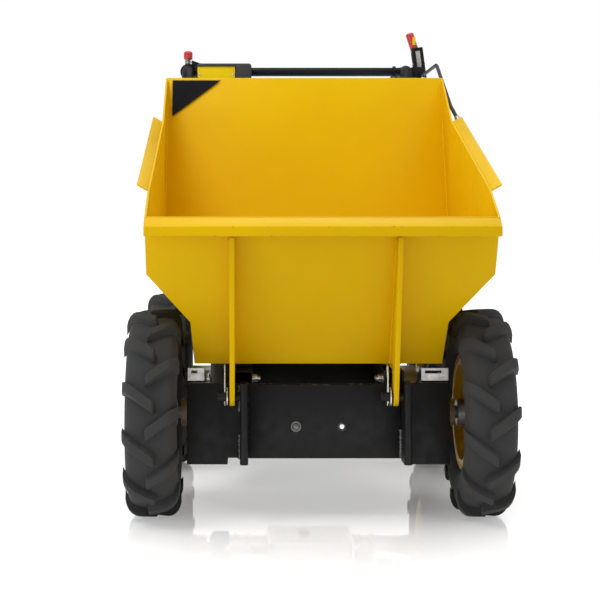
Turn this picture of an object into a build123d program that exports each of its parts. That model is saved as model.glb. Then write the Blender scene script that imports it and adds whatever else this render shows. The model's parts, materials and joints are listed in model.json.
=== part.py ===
from build123d import *
import os
from math import asin, cos, pi, radians, sin, sqrt

# Four-wheel power barrow with a forward-tipping skip. Millimetres.
# +Y runs from the front lip to the handle grips, +Z is up and the ground is z = 0.

# Overall length and the fits between pieces
LENGTH = 1560.0
LIP_Y = -LENGTH / 2
GRIP_END_Y = LENGTH / 2
RUN_FIT = 0.05
SEAT_GAP = 0.3
SLIP_FIT = 0.15

# Wheels
AXLE_Z = 207.5
LUG_H = 17.0
TYRE_W = 108.0
CROWN_W = 78.0
SIDEWALL_W = 100.0
SIDEWALL_R = 158.0
SHOULDER_DROP = 27.0
BEAD_R = 102.0
BEAD_W = 66.0
LUG_COUNT = 12
LUG_W = 21.0
LUG_RISE = 44.0
LUG_LAP = 5.0
TREAD_SIDES = 2 * LUG_COUNT
TIP_R = AXLE_Z / cos(pi / TREAD_SIDES)
FLANGE_T = 5.0
FLANGE_H = 13.0
BARREL_T = 6.0
DISC_T = 6.0
HAND_HOLE_R = 11.0
HAND_HOLE_PCR = 66.0
HAND_HOLES = 5
HUB_FLANGE_R = 46.0
HUB_FLANGE_T = 8.0
HUB_BOSS_R = 27.0
HUB_REACH = 45.0
HUB_NOSE_R = 20.0
HUB_NOSE = 22.0
HUB_CAP_T = 9.0
SPINDLE_R = 12.5
SPINDLE_END_GAP = 2.0
TRACK = 652.0
WHEELBASE = 650.0
FRONT_OVERHANG = 225.0
FRONT_AXLE_Y = LIP_Y + FRONT_OVERHANG
REAR_AXLE_Y = FRONT_AXLE_Y + WHEELBASE

# Axles and drive line
AXLE_TUBE_R = 28.0
AXLE_END_GAP = 8.0
DIFF_R = 50.0
DIFF_W = 110.0
DIFF_CONE = 30.0
SADDLE_W = 48.0
SADDLE_L = 70.0
NOSE_R = 27.0
NOSE_L = 95.0
SHAFT_R = 14.0
GEARBOX_W = 190.0
GEARBOX_L = 170.0
GEARBOX_H = 130.0
GEARBOX_ROUND = 14.0

# Frame
RAIL_X = 150.0
RAIL_W = 40.0
RAIL_H = 60.0
RAIL_WALL = 4.0
RAIL_TOP_Z = 296.0
RAIL_END_SETBACK = 1010.0
REAR_BEAM_W = 470.0
REAR_BEAM_L = 44.0
CROSS_L = 50.0
BOX_SETBACK = 166.0
BOX_W = 520.0
BOX_L = 124.0
BOX_T = 4.0
BOX_LOW_Z = 111.0
BOX_STEP_W = 358.0
BOX_TOP_Z = 272.0
COVER_T = 6.0
COVER_LOW_Z = 124.0
COVER_TOP_Z = 270.0
DECK_T = 6.0
DECK_OVERHANG = 10.0
DECK_L = 330.0
DECK_W = 2 * (RAIL_X + DECK_OVERHANG) + RAIL_W
RAIL_FRONT_Y = LIP_Y + BOX_SETBACK + BOX_T
RAIL_REAR_Y = LIP_Y + RAIL_END_SETBACK
RAIL_LOW_Z = RAIL_TOP_Z - RAIL_H
DECK_Z = RAIL_TOP_Z + DECK_T
DECK_REAR_Y = RAIL_REAR_Y + REAR_BEAM_L
DECK_FRONT_Y = DECK_REAR_Y - DECK_L

# Skip: widths of its section, heights of its folds and the points of its side view
SHEET = 4.0
SKIP_W = 670.0
WAIST_W = 504.0
FLOOR_W = 490.0
FLOOR_Z = 310.0
WAIST_Z = 395.0
SHOULDER_Z = 490.0
LIP_Z = 600.0
LIP_DEPTH = 24.0
LIP_FALL = 17.5
LIP_DROP = 18.5
FLOOR_FRONT_SETBACK = 170.0
FLOOR_REAR_SETBACK = 600.0
BACK_FOLD_SETBACK = 800.0
BACK_FOLD_Z = 820.0
BACK_TOP_SETBACK = 829.0
BACK_TOP_Z = 935.0
RIM_REAR_SETBACK = 660.0
RIM_REAR_Z = 820.0
RIM_FRONT_SETBACK = 126.0
RIM_FRONT_Z = 653.0
RIM_OUT = 21.0
RIM_UP = 12.0
SECTION_HEAD = 32.0
RUNNER_H = 6.0
RUNNER_W = 40.0
RUNNER_MARGIN = 50.0
wall_top = (LIP_Y + LIP_DEPTH, LIP_Z)
floor_front = (LIP_Y + FLOOR_FRONT_SETBACK, FLOOR_Z)
floor_rear = (LIP_Y + FLOOR_REAR_SETBACK, FLOOR_Z)
back_fold = (LIP_Y + BACK_FOLD_SETBACK, BACK_FOLD_Z)
back_top = (LIP_Y + BACK_TOP_SETBACK, BACK_TOP_Z)
rim_rear = (LIP_Y + RIM_REAR_SETBACK, RIM_REAR_Z)
rim_front = (LIP_Y + RIM_FRONT_SETBACK, RIM_FRONT_Z)

# Tipping hinge
HINGE_SETBACK = 125.0
HINGE_Z = 250.0
HINGE_X = 159.0
EAR_SHIFT = 11.0
RIB_T = 10.0
RIB_TOP_DEPTH = 28.0
RIB_LIP_GAP = 2.0
RIB_FOOT = 30.0
RIB_CLEAR = 6.0
EAR_R = 18.0
PIN_R = 9.0
PIN_TAIL = 24.0
BRACKET_T = 16.0
BRACKET_GAP = 10.0
BRACKET_REACH = 24.0
BRACKET_TOP_Z = 277.0
BRACKET_LOW_Z = 120.0
REST_L = 60.0
HINGE_Y = LIP_Y + HINGE_SETBACK
ear_places = [side * HINGE_X - EAR_SHIFT for side in (-1, 1)]
bracket_places = [x + (RIB_T + BRACKET_T) / 2 + BRACKET_GAP for x in ear_places]

# Handles and controls
HANDLE_X = 215.0
HANDLE_R = 16.0
HANDLE_BEND = 70.0
HANDLE_RISE_Z = 470.0
GRIP_X = 300.0
GRIP_Z = 1000.0
GRIP_L = 130.0
GRIP_R = 20.0
GRIP_CAP_T = 5.0
HANDLE_RUN = 270.0
BAR_R = 12.0
BAR_BEHIND = 60.0
CONSOLE_W = 150.0
CONSOLE_L = 50.0
CONSOLE_H = 62.0
CONSOLE_ROUND = 8.0
CONSOLE_OFFSET = 200.0
CONSOLE_RISE = 18.0
LEVER_T = 8.0
LEVER_W = 22.0
LEVER_TOP_Z = 1050.0
LEVER_GRIP_L = 60.0
LEVER_GRIP_R = 11.0
LEVER_LEAN = 16.0
CLAMP_L = 40.0
CLAMP_T = 12.0
CLAMP_W = 38.0
KNOB_R = 12.0
KNOB_H = 22.0
STEM_R = 5.0
STEM_H = 14.0
PULL_R = 5.0
PULL_DROP = 26.0
PULL_TAIL = 10.0
CABLE_R = 4.5
CABLE_BEND = 60.0
CABLE_OUT_X = 371.0
CABLE_WALL_X = 348.0
CABLE_CLEAR = 70.0
CABLE_STEP = 40.0

# Engine
CASE_W = 190.0
CASE_L = 200.0
CASE_H = 190.0
CASE_ROUND = 16.0
TANK_W = 270.0
TANK_L = 190.0
TANK_H = 105.0
TANK_ROUND = 26.0
FIN_COUNT = 7
FIN_PITCH = 14.0
FIN_T = 5.0
FIN_W = 150.0
FIN_L = 140.0
CORE_W = 110.0
CORE_L = 100.0
COWL_R = 92.0
COWL_T = 62.0
COWL_LIFT = 4.0
ENGINE_SETBACK = 930.0
LEAN = radians(60.0)
CYLINDER_RISE = 110.0
POD_W = 90.0
POD_L = 115.0
POD_H = 90.0
POD_ROUND = 12.0
POD_GAP = 2.0
TANK_STEP = 60.0
BELT_R = 68.0
BELT_T = 42.0
INPUT_R = 15.0
ENGINE_Y = LIP_Y + ENGINE_SETBACK

BIG = 2 * LENGTH

WHEELS = [
    # name, side (-1 is -X), axle place along Y
    ("front_left", -1, FRONT_AXLE_Y),
    ("front_right", 1, FRONT_AXLE_Y),
    ("rear_left", -1, REAR_AXLE_Y),
    ("rear_right", 1, REAR_AXLE_Y),
]
SIDES = [("left", -1), ("right", 1)]


def save(builder, name):
    """Label a finished piece and write its STEP file."""
    builder.part.label = name
    export_step(builder.part, f"parts/{name}.step")


def inset(points, amount):
    """The open polyline moved to its left by amount, with mitred corners."""
    corners = [Vector(*point) for point in points]
    runs = [(b - a).normalized() for a, b in zip(corners, corners[1:])]
    normals = [Vector(-run.Y, run.X) for run in runs]
    befores = [normals[0]] + normals
    afters = normals + [normals[-1]]
    moved = []
    for corner, before, after in zip(corners, befores, afters):
        shift = (before + after) * (amount / (1 + before.dot(after)))
        moved.append(((corner + shift).X, (corner + shift).Y))
    return moved


def outline(points):
    """A face inside the closed polyline, on the sketch in progress."""
    with BuildLine() as edge:
        Polyline(*points, close=True)
    make_face(edge.edges())


os.makedirs("parts", exist_ok=True)

# Skip side view, front lip to back top, and its cross section on the +X side
profile = [wall_top, floor_front, floor_rear, back_fold, back_top]
profile_in = inset(profile, SHEET)
SECTION_TOP_Z = BACK_TOP_Z + SECTION_HEAD
section = [
    (FLOOR_W - WAIST_W / 2, 2 * FLOOR_Z - WAIST_Z),
    (WAIST_W / 2, WAIST_Z),
    (SKIP_W / 2, SHOULDER_Z),
    (SKIP_W / 2, SECTION_TOP_Z),
]
section_in = inset(section, SHEET)
section_all = section + [(-x, z) for x, z in reversed(section)]
section_all_in = section_in + [(-x, z) for x, z in reversed(section_in)]

PANELS = [
    # name, strip of the side view, section that bounds it
    ("skip_front", [profile[0], profile[1], profile_in[1], profile_in[0]], section_all),
    ("skip_back", profile[2:] + list(reversed(profile_in[2:])), section_all),
    ("skip_floor", profile[1:3] + list(reversed(profile_in[1:3])), section_all_in),
]
panels = {}
for name, strip, bounds in PANELS:
    with BuildPart() as panel:
        with BuildSketch(Plane.YZ):
            outline(strip)
        extrude(amount=BIG, both=True)
        with BuildSketch(Plane.XZ):
            outline(bounds)
        extrude(amount=BIG, both=True, mode=Mode.INTERSECT)
    save(panel, name)
    panels[name] = panel.part

for side_name, side in SIDES:
    with BuildPart() as side_sheet:
        with BuildSketch(Plane.XZ):
            outline([(side * x, z) for x, z in section + list(reversed(section_in))])
        extrude(amount=BIG, both=True)
        with BuildSketch(Plane.YZ):
            outline(profile + [rim_rear, rim_front])
        extrude(amount=BIG, both=True, mode=Mode.INTERSECT)
        add(panels["skip_front"], mode=Mode.SUBTRACT)
        add(panels["skip_back"], mode=Mode.SUBTRACT)
    save(side_sheet, f"skip_side_{side_name}")

# Rim flanges flared outwards along the top edge of each side
with BuildPart() as skip_rims:
    for side in (-1, 1):
        flare = Vector(side * RIM_OUT, 0, RIM_UP)
        with BuildSketch(Plane.YZ.offset(side * SKIP_W / 2)):
            outline([rim_rear, rim_front] + list(reversed(inset([rim_rear, rim_front], SHEET))))
        extrude(amount=flare.length, dir=flare.normalized())
save(skip_rims, "skip_rims")

# Front lip: a sheet folded forward from the wall top, then down
wall_slope = (floor_front[0] - wall_top[0]) / (LIP_Z - FLOOR_Z)
lip_fold_z = LIP_Z - LIP_FALL
lip_low_z = lip_fold_z - LIP_DROP
with BuildPart() as skip_lip:
    with BuildSketch(Plane.YZ):
        outline(
            [
                wall_top,
                (LIP_Y, lip_fold_z),
                (LIP_Y, lip_low_z),
                (LIP_Y + SHEET, lip_low_z),
                (LIP_Y + SHEET, lip_fold_z - SHEET),
                (wall_top[0] + SHEET * wall_slope, LIP_Z - SHEET),
            ]
        )
    extrude(amount=SKIP_W / 2, both=True)
save(skip_lip, "skip_lip")

# Front ribs with the hinge ears
rib_top_z = lip_low_z - RIB_LIP_GAP
rib_top_y = wall_top[0] + (LIP_Z - rib_top_z) * wall_slope
with BuildPart() as skip_ribs:
    with BuildSketch(*[Plane.YZ.offset(ear_x) for ear_x in ear_places]):
        with BuildLine():
            Polyline(
                (HINGE_Y + EAR_R, HINGE_Z),
                (HINGE_Y + EAR_R, RAIL_TOP_Z + RIB_CLEAR),
                (floor_front[0] + RIB_FOOT, RAIL_TOP_Z + RIB_CLEAR),
                (floor_front[0] + RIB_FOOT, FLOOR_Z),
                floor_front,
                (rib_top_y, rib_top_z),
                (rib_top_y - RIB_TOP_DEPTH, rib_top_z),
                (HINGE_Y - EAR_R, HINGE_Z),
            )
            ThreePointArc(
                (HINGE_Y - EAR_R, HINGE_Z),
                (HINGE_Y, HINGE_Z - EAR_R),
                (HINGE_Y + EAR_R, HINGE_Z),
            )
        make_face()
        with Locations((HINGE_Y, HINGE_Z)):
            Circle(PIN_R + RUN_FIT, mode=Mode.SUBTRACT)
    extrude(amount=RIB_T / 2, both=True)
save(skip_ribs, "skip_ribs")

# Floor runners, the flat bars that the skip rests on
runner_front_y = floor_front[0] + RUNNER_MARGIN
runner_rear_y = floor_rear[0] - RUNNER_MARGIN
runner_mid_y = (runner_front_y + runner_rear_y) / 2
with BuildPart() as skip_runners:
    with BuildSketch(Plane.XY.offset(FLOOR_Z - RUNNER_H)):
        with Locations((-RAIL_X, runner_mid_y), (RAIL_X, runner_mid_y)):
            Rectangle(RUNNER_W, runner_rear_y - runner_front_y)
    extrude(amount=RUNNER_H)
save(skip_runners, "skip_runners")

# Frame rails, cross members and the rear beam that carries the handles
rail_start = Plane.XZ.offset(-RAIL_FRONT_Y)
with BuildPart() as frame_rails:
    with BuildSketch(rail_start):
        with Locations((-RAIL_X, RAIL_TOP_Z - RAIL_H / 2), (RAIL_X, RAIL_TOP_Z - RAIL_H / 2)):
            Rectangle(RAIL_W, RAIL_H)
            Rectangle(RAIL_W - 2 * RAIL_WALL, RAIL_H - 2 * RAIL_WALL, mode=Mode.SUBTRACT)
    extrude(amount=RAIL_FRONT_Y - RAIL_REAR_Y)
save(frame_rails, "frame_rails")

GEARBOX_Y = (FRONT_AXLE_Y + REAR_AXLE_Y) / 2
cross_w = 2 * RAIL_X - RAIL_W
with BuildPart() as cross_members:
    with BuildSketch(Plane.XY.offset(RAIL_LOW_Z)):
        with Locations((0, GEARBOX_Y - GEARBOX_L / 2), (0, GEARBOX_Y + GEARBOX_L / 2)):
            Rectangle(cross_w, CROSS_L)
        with Locations((0, RAIL_REAR_Y + REAR_BEAM_L / 2)):
            Rectangle(REAR_BEAM_W, REAR_BEAM_L)
    extrude(amount=RAIL_H)
save(cross_members, "frame_cross_members")

# Front box: wall, bottom flange and end walls round the front axle
box_y = LIP_Y + BOX_SETBACK
with BuildPart() as front_box:
    with BuildSketch(Plane.XY.offset(BOX_LOW_Z)):
        with Locations((0, box_y + (BOX_L + BOX_T) / 2)):
            Rectangle(BOX_W, BOX_L + BOX_T)
    extrude(amount=BOX_TOP_Z - BOX_LOW_Z)
    with BuildSketch(Plane.XY.offset(BOX_LOW_Z + BOX_T)):
        with Locations((0, box_y + BOX_T + BOX_L)):
            Rectangle(BOX_W - 2 * BOX_T, 2 * BOX_L)
    extrude(amount=BOX_TOP_Z - BOX_LOW_Z, mode=Mode.SUBTRACT)
    with BuildSketch(Plane.YZ):
        with Locations((FRONT_AXLE_Y, AXLE_Z)):
            Circle(AXLE_TUBE_R + SEAT_GAP)
    extrude(amount=BOX_W, both=True, mode=Mode.SUBTRACT)
    with BuildSketch(Plane.XY.offset(BOX_LOW_Z)):
        with Locations((0, box_y + (BOX_L + BOX_T) / 2)):
            Rectangle(BOX_STEP_W, BOX_L + BOX_T)
    extrude(amount=COVER_LOW_Z - BOX_LOW_Z, mode=Mode.SUBTRACT)
save(front_box, "front_box")

# Hinge brackets with welded pins, each on the +X side of its ear
bracket_front_y = HINGE_Y - BRACKET_REACH
with BuildPart() as brackets:
    for bracket_x in bracket_places:
        with BuildSketch(Plane.XY.offset(BRACKET_LOW_Z)) as bracket_foot:
            with Locations((bracket_x, (bracket_front_y + box_y) / 2)):
                Rectangle(BRACKET_T, box_y - bracket_front_y)
            fillet(bracket_foot.vertices().group_by(Axis.Y)[0], BRACKET_T / 2 - SEAT_GAP)
        extrude(amount=BRACKET_TOP_Z - BRACKET_LOW_Z)
        with BuildSketch(Plane.YZ.offset(bracket_x)):
            with Locations((HINGE_Y, HINGE_Z)):
                Circle(PIN_R)
        extrude(amount=-(BRACKET_T / 2 + BRACKET_GAP + RIB_T + PIN_TAIL))
save(brackets, "hinge_brackets")

cover_x0 = bracket_places[0] + BRACKET_T / 2
cover_x1 = bracket_places[1] - BRACKET_T / 2
with BuildPart() as cover:
    with BuildSketch(Plane.XZ.offset(-box_y)):
        with Locations(((cover_x0 + cover_x1) / 2, (COVER_LOW_Z + COVER_TOP_Z) / 2)):
            Rectangle(cover_x1 - cover_x0, COVER_TOP_Z - COVER_LOW_Z)
    extrude(amount=COVER_T)
save(cover, "front_cover")

# Rubber rests on the rails, under the floor runners
with BuildPart() as rests:
    with BuildSketch(Plane.XY.offset(RAIL_TOP_Z)):
        for rest_y in (runner_front_y + REST_L, runner_rear_y - REST_L):
            with Locations((-RAIL_X, rest_y), (RAIL_X, rest_y)):
                Rectangle(RUNNER_W, REST_L)
    extrude(amount=FLOOR_Z - RUNNER_H - SEAT_GAP - RAIL_TOP_Z)
save(rests, "skip_rests")

# Axles: differential, tubes, spindles, saddles under the rails and the drive nose
tube_end = TRACK / 2 - HUB_REACH - AXLE_END_GAP
spindle_end = TRACK / 2 + HUB_NOSE - HUB_CAP_T - SPINDLE_END_GAP
half_axle = [
    (spindle_end, 0),
    (spindle_end, SPINDLE_R),
    (tube_end, SPINDLE_R),
    (tube_end, AXLE_TUBE_R),
    (DIFF_W / 2 + DIFF_CONE, AXLE_TUBE_R),
    (DIFF_W / 2, DIFF_R),
]
AXLES = [
    # name, place along Y, direction of the drive nose
    ("front", FRONT_AXLE_Y, 1),
    ("rear", REAR_AXLE_Y, -1),
]
for name, axle_y, inward in AXLES:
    with BuildPart() as axle:
        with BuildSketch(Plane.XZ.offset(-axle_y)):
            turned = half_axle + [(-x, r) for x, r in reversed(half_axle)]
            outline([(x, AXLE_Z + r) for x, r in turned])
        revolve(axis=Axis((0, axle_y, AXLE_Z), (1, 0, 0)))
        with BuildSketch(Plane.XY.offset(AXLE_Z)):
            with Locations((-RAIL_X, axle_y), (RAIL_X, axle_y)):
                Rectangle(SADDLE_W, SADDLE_L)
        extrude(amount=RAIL_LOW_Z - AXLE_Z)
        with BuildSketch(Plane(origin=(0, axle_y, AXLE_Z), z_dir=(0, inward, 0))):
            Circle(NOSE_R)
        extrude(amount=NOSE_L)
    save(axle, f"{name}_axle")

with BuildPart() as shafts:
    for name, axle_y, inward in AXLES:
        nose_y = axle_y + inward * NOSE_L
        with BuildSketch(Plane(origin=(0, nose_y, AXLE_Z), z_dir=(0, inward, 0))):
            Circle(SHAFT_R)
        extrude(amount=abs(GEARBOX_Y - nose_y) - GEARBOX_L / 2)
save(shafts, "drive_shafts")

with BuildPart() as gearbox:
    with BuildSketch(Plane.XY.offset(RAIL_LOW_Z)):
        with Locations((0, GEARBOX_Y)):
            RectangleRounded(GEARBOX_W, GEARBOX_L, GEARBOX_ROUND)
    extrude(amount=-GEARBOX_H)
    fillet(gearbox.faces().sort_by(Axis.Z)[0].edges(), GEARBOX_ROUND / 2)
    with BuildSketch(Plane.YZ.offset(GEARBOX_ROUND - GEARBOX_W / 2)):
        with Locations((GEARBOX_Y, RAIL_LOW_Z - GEARBOX_H / 2)):
            Circle(INPUT_R)
    extrude(amount=GEARBOX_W / 2 - GEARBOX_ROUND - DECK_W / 2)
save(gearbox, "gearbox")

# Wheels
carcass_r = TIP_R - LUG_H
lug_root_r = carcass_r - SHOULDER_DROP
lug_reach = (LUG_RISE + LUG_W) / 2
lug_top_r = sqrt(TIP_R**2 - lug_reach**2)
lug_turn = asin(lug_reach / TIP_R) + pi / TREAD_SIDES
flat_share = cos(pi / TREAD_SIDES)
CARCASS = [
    # place across the tyre, corner radius
    (-SIDEWALL_W / 2, SIDEWALL_R),
    (-CROWN_W / 2, carcass_r),
    (CROWN_W / 2, carcass_r),
    (SIDEWALL_W / 2, SIDEWALL_R),
]
flange_seat_r = (BEAD_R + FLANGE_H + SLIP_FIT) / flat_share
shoulder_cut = [
    (CROWN_W / 2, lug_top_r),
    (TYRE_W / 2 + SEAT_GAP, lug_top_r - SHOULDER_DROP),
    (TYRE_W / 2 + SEAT_GAP, lug_top_r + LUG_H),
    (CROWN_W / 2, lug_top_r + LUG_H),
]
rim_r = BEAD_R - SLIP_FIT
barrel_r = rim_r - BARREL_T
flange_in = BEAD_W / 2 + SLIP_FIT
flange_out = flange_in + FLANGE_T
disc_half = DISC_T / 2
hub_bore_r = SPINDLE_R + RUN_FIT
rim_half = [
    (disc_half, HUB_NOSE_R + SLIP_FIT),
    (disc_half, barrel_r),
    (flange_out, barrel_r),
    (flange_out, BEAD_R + FLANGE_H),
    (flange_in, BEAD_R + FLANGE_H),
    (flange_in, rim_r),
]
hub_turn = [
    (-HUB_REACH, hub_bore_r),
    (-HUB_REACH, HUB_BOSS_R),
    (-disc_half - HUB_FLANGE_T, HUB_BOSS_R),
    (-disc_half - HUB_FLANGE_T, HUB_FLANGE_R),
    (-disc_half, HUB_FLANGE_R),
    (-disc_half, HUB_NOSE_R),
    (HUB_NOSE, HUB_NOSE_R),
    (HUB_NOSE, 0),
    (HUB_NOSE - HUB_CAP_T, 0),
    (HUB_NOSE - HUB_CAP_T, hub_bore_r),
]


for name, side, wheel_y in WHEELS:
    centre = Vector(side * TRACK / 2, wheel_y, AXLE_Z)
    section_plane = Plane(origin=centre, x_dir=(1, 0, 0), z_dir=(0, -1, 0))
    spin = Axis(centre, (1, 0, 0))
    across = [Plane(origin=centre + Vector(u, 0, 0), z_dir=(1, 0, 0)) for u, r in CARCASS]
    with BuildPart() as tyre:
        for plane, (u, corner_r) in zip(across, CARCASS):
            with BuildSketch(plane):
                RegularPolygon(corner_r, TREAD_SIDES)
        loft(ruled=True)
        for hand, plane in ((-1, across[0]), (1, across[-1])):
            with BuildSketch(plane):
                RegularPolygon(SIDEWALL_R, TREAD_SIDES)
            with BuildSketch(plane.offset(hand * (BEAD_W - SIDEWALL_W) / 2)):
                RegularPolygon(flange_seat_r, TREAD_SIDES)
            loft(ruled=True, mode=Mode.SUBTRACT)
        with BuildSketch(across[0]):
            RegularPolygon(BEAD_R / flat_share, TREAD_SIDES)
        extrude(amount=SIDEWALL_W, mode=Mode.SUBTRACT)
        for hand, start in ((-1, 0.0), (1, 0.5)):
            feet = []
            flanks = []
            for index in range(LUG_COUNT):
                turn = 2 * pi * (index + start) / LUG_COUNT + lug_turn
                outward = Vector(0, -sin(turn), -cos(turn))
                along = Vector(0, -cos(turn), sin(turn))
                feet.append(Plane(origin=centre + outward * lug_root_r, x_dir=(1, 0, 0), z_dir=outward))
                flanks.append(Plane(origin=centre, x_dir=(hand, 0, 0), z_dir=along * -hand))
            with BuildSketch(*feet):
                outline(
                    [
                        (-hand * LUG_LAP, -lug_reach),
                        (hand * TYRE_W / 2, lug_reach - LUG_W),
                        (hand * TYRE_W / 2, lug_reach),
                        (-hand * LUG_LAP, LUG_W - lug_reach),
                    ]
                )
            extrude(amount=lug_top_r - lug_root_r)
            with BuildSketch(*flanks):
                outline(shoulder_cut)
            extrude(amount=lug_reach + SEAT_GAP, both=True, mode=Mode.SUBTRACT)
    save(tyre, f"tyre_{name}")

    with BuildPart() as rim:
        with BuildSketch(section_plane):
            outline(rim_half + [(-u, r) for u, r in reversed(rim_half)])
        revolve(axis=spin)
        with Locations(Plane(origin=centre, z_dir=(1, 0, 0))):
            with PolarLocations(HAND_HOLE_PCR, HAND_HOLES):
                Hole(HAND_HOLE_R, depth=DISC_T)
    save(rim, f"rim_{name}")

    with BuildPart() as hub:
        with BuildSketch(section_plane):
            outline([(side * u, r) for u, r in hub_turn])
        revolve(axis=spin)
    save(hub, f"hub_{name}")

# Handles: bent tubes from the rear beam up to the grips, and the bar between them
beam_mid_y = RAIL_REAR_Y + REAR_BEAM_L / 2
handle_top_y = GRIP_END_Y - HANDLE_RUN
handle_end_y = GRIP_END_Y - GRIP_CAP_T - SEAT_GAP
bar_y = handle_top_y + BAR_BEHIND
for side_name, side in SIDES:
    with BuildPart() as handle:
        with BuildLine() as handle_line:
            FilletPolyline(
                (side * HANDLE_X, beam_mid_y, RAIL_TOP_Z),
                (side * HANDLE_X, beam_mid_y, HANDLE_RISE_Z),
                (side * GRIP_X, handle_top_y, GRIP_Z),
                (side * GRIP_X, handle_end_y, GRIP_Z),
                radius=HANDLE_BEND,
            )
        with BuildSketch(Plane.XY.offset(RAIL_TOP_Z)):
            with Locations((side * HANDLE_X, beam_mid_y)):
                Circle(HANDLE_R)
        sweep(path=handle_line.line)
    save(handle, f"handle_{side_name}")

grip_planes = []
for side in (-1, 1):
    grip_planes.append(Plane(origin=(side * GRIP_X, GRIP_END_Y, GRIP_Z), z_dir=(0, -1, 0)))
with BuildPart() as grips:
    with BuildSketch(*grip_planes):
        Circle(GRIP_R)
    extrude(amount=GRIP_L)
    with BuildSketch(*[plane.offset(GRIP_CAP_T) for plane in grip_planes]):
        Circle(HANDLE_R + SLIP_FIT)
    extrude(amount=GRIP_L, mode=Mode.SUBTRACT)
save(grips, "grips")

# Steering levers: a clamp block under each tube and a bent rod back below its grip
clamp_y = GRIP_END_Y - GRIP_L - CLAMP_L / 2
clamp_z = GRIP_Z - HANDLE_R - SEAT_GAP
with BuildPart() as steer_levers:
    for side in (-1, 1):
        with BuildSketch(Plane.XY.offset(clamp_z)):
            with Locations((side * GRIP_X, clamp_y)):
                Rectangle(CLAMP_W, CLAMP_L)
        extrude(amount=-2 * CLAMP_T)
        with BuildLine() as pull_line:
            FilletPolyline(
                (side * GRIP_X, clamp_y, clamp_z - CLAMP_T),
                (side * GRIP_X, clamp_y + 3 * CLAMP_L / 2, clamp_z - CLAMP_T - PULL_DROP),
                (side * GRIP_X, GRIP_END_Y - PULL_TAIL, clamp_z - CLAMP_T - PULL_DROP),
                radius=CLAMP_L,
            )
        with BuildSketch(Plane(origin=pull_line.line @ 0, z_dir=pull_line.line % 0)):
            Circle(PULL_R)
        sweep(path=pull_line.line)
save(steer_levers, "steer_levers")

with BuildPart() as cross_bar:
    with BuildSketch(Plane(origin=(0, bar_y, GRIP_Z), z_dir=(1, 0, 0))):
        Circle(BAR_R)
    extrude(amount=GRIP_X, both=True)
    with BuildSketch(Plane(origin=(0, bar_y, GRIP_Z), x_dir=(1, 0, 0), z_dir=(0, 1, 0))):
        with Locations((-GRIP_X, 0), (GRIP_X, 0)):
            Circle(HANDLE_R + SLIP_FIT)
    extrude(amount=2 * HANDLE_R, both=True, mode=Mode.SUBTRACT)
save(cross_bar, "handle_cross_bar")

# Console on the front of the bar
with BuildPart() as console:
    with BuildSketch(Plane.XZ.offset(BAR_R + SEAT_GAP - bar_y)):
        with Locations((-CONSOLE_OFFSET, GRIP_Z + CONSOLE_RISE - CONSOLE_H / 2)):
            RectangleRounded(CONSOLE_W, CONSOLE_H, CONSOLE_ROUND)
    extrude(amount=CONSOLE_L)
    fillet(console.faces().sort_by(Axis.Y)[0].edges(), CONSOLE_ROUND / 2)
save(console, "console")

# Drive lever: a block on the outside of the right handle, a bar that leans in and its red grip
mount_x = GRIP_X + HANDLE_R + SEAT_GAP
mount_top_z = GRIP_Z + CLAMP_T
lever_foot = Vector(mount_x + CLAMP_W - LEVER_T, bar_y, mount_top_z - CLAMP_T)
lever_top = Vector(lever_foot.X - LEVER_LEAN, bar_y, LEVER_TOP_Z)
lever_plane = Plane(origin=lever_foot, x_dir=(0, 1, 0), z_dir=lever_top - lever_foot)
with BuildPart() as drive_lever:
    with BuildSketch(Plane.XY.offset(mount_top_z)):
        with Locations((mount_x + CLAMP_W / 2, bar_y)):
            Rectangle(CLAMP_W, CLAMP_L)
    extrude(amount=-CLAMP_W)
    with BuildSketch(lever_plane):
        Rectangle(LEVER_W, LEVER_T)
    extrude(amount=(lever_top - lever_foot).length)
save(drive_lever, "drive_lever")

with BuildPart() as lever_grip:
    with BuildSketch(lever_plane.offset((lever_top - lever_foot).length)):
        Circle(LEVER_GRIP_R)
    extrude(amount=LEVER_GRIP_L)
    chamfer(lever_grip.edges().sort_by(Axis.Z)[-1], LEVER_GRIP_R / 3)
save(lever_grip, "drive_lever_grip")

# Drive cable from the lever block, outside the skip and down between the wheels to the gearbox
cable_z = RAIL_LOW_Z - GEARBOX_H / 4
cable_points = [
    (lever_foot.X, bar_y - CLAMP_L / 2, lever_foot.Z - CLAMP_T),
    (lever_foot.X, beam_mid_y, lever_foot.Z - CLAMP_T),
    (CABLE_WALL_X, back_top[0] - CABLE_STEP, BACK_TOP_Z - CABLE_CLEAR),
    (CABLE_OUT_X, rim_rear[0], RIM_REAR_Z - CABLE_STEP),
    (CABLE_OUT_X, GEARBOX_Y, SHOULDER_Z + CABLE_BEND),
    (WAIST_W / 2 + CABLE_CLEAR, GEARBOX_Y, WAIST_Z),
    (RAIL_X + RAIL_W + CABLE_STEP, GEARBOX_Y, cable_z),
    (GEARBOX_W / 2, GEARBOX_Y, cable_z),
]
with BuildPart() as cable:
    with BuildLine() as cable_line:
        FilletPolyline(*cable_points, radius=CABLE_BEND)
    with BuildSketch(Plane(origin=cable_points[0], z_dir=(0, -1, 0))):
        Circle(CABLE_R)
    sweep(path=cable_line.line)
save(cable, "drive_cable")

# Throttle on top of the left handle
with BuildPart() as throttle:
    with BuildSketch(Plane.XY.offset(GRIP_Z + HANDLE_R + SEAT_GAP)):
        with Locations((-GRIP_X, bar_y)):
            Circle(2 * STEM_R)
    extrude(amount=STEM_R)
    with BuildSketch(Plane.XY.offset(GRIP_Z + HANDLE_R + SEAT_GAP)):
        with Locations((-GRIP_X, bar_y)):
            Circle(STEM_R)
    extrude(amount=STEM_R + STEM_H)
save(throttle, "throttle_lever")

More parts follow.
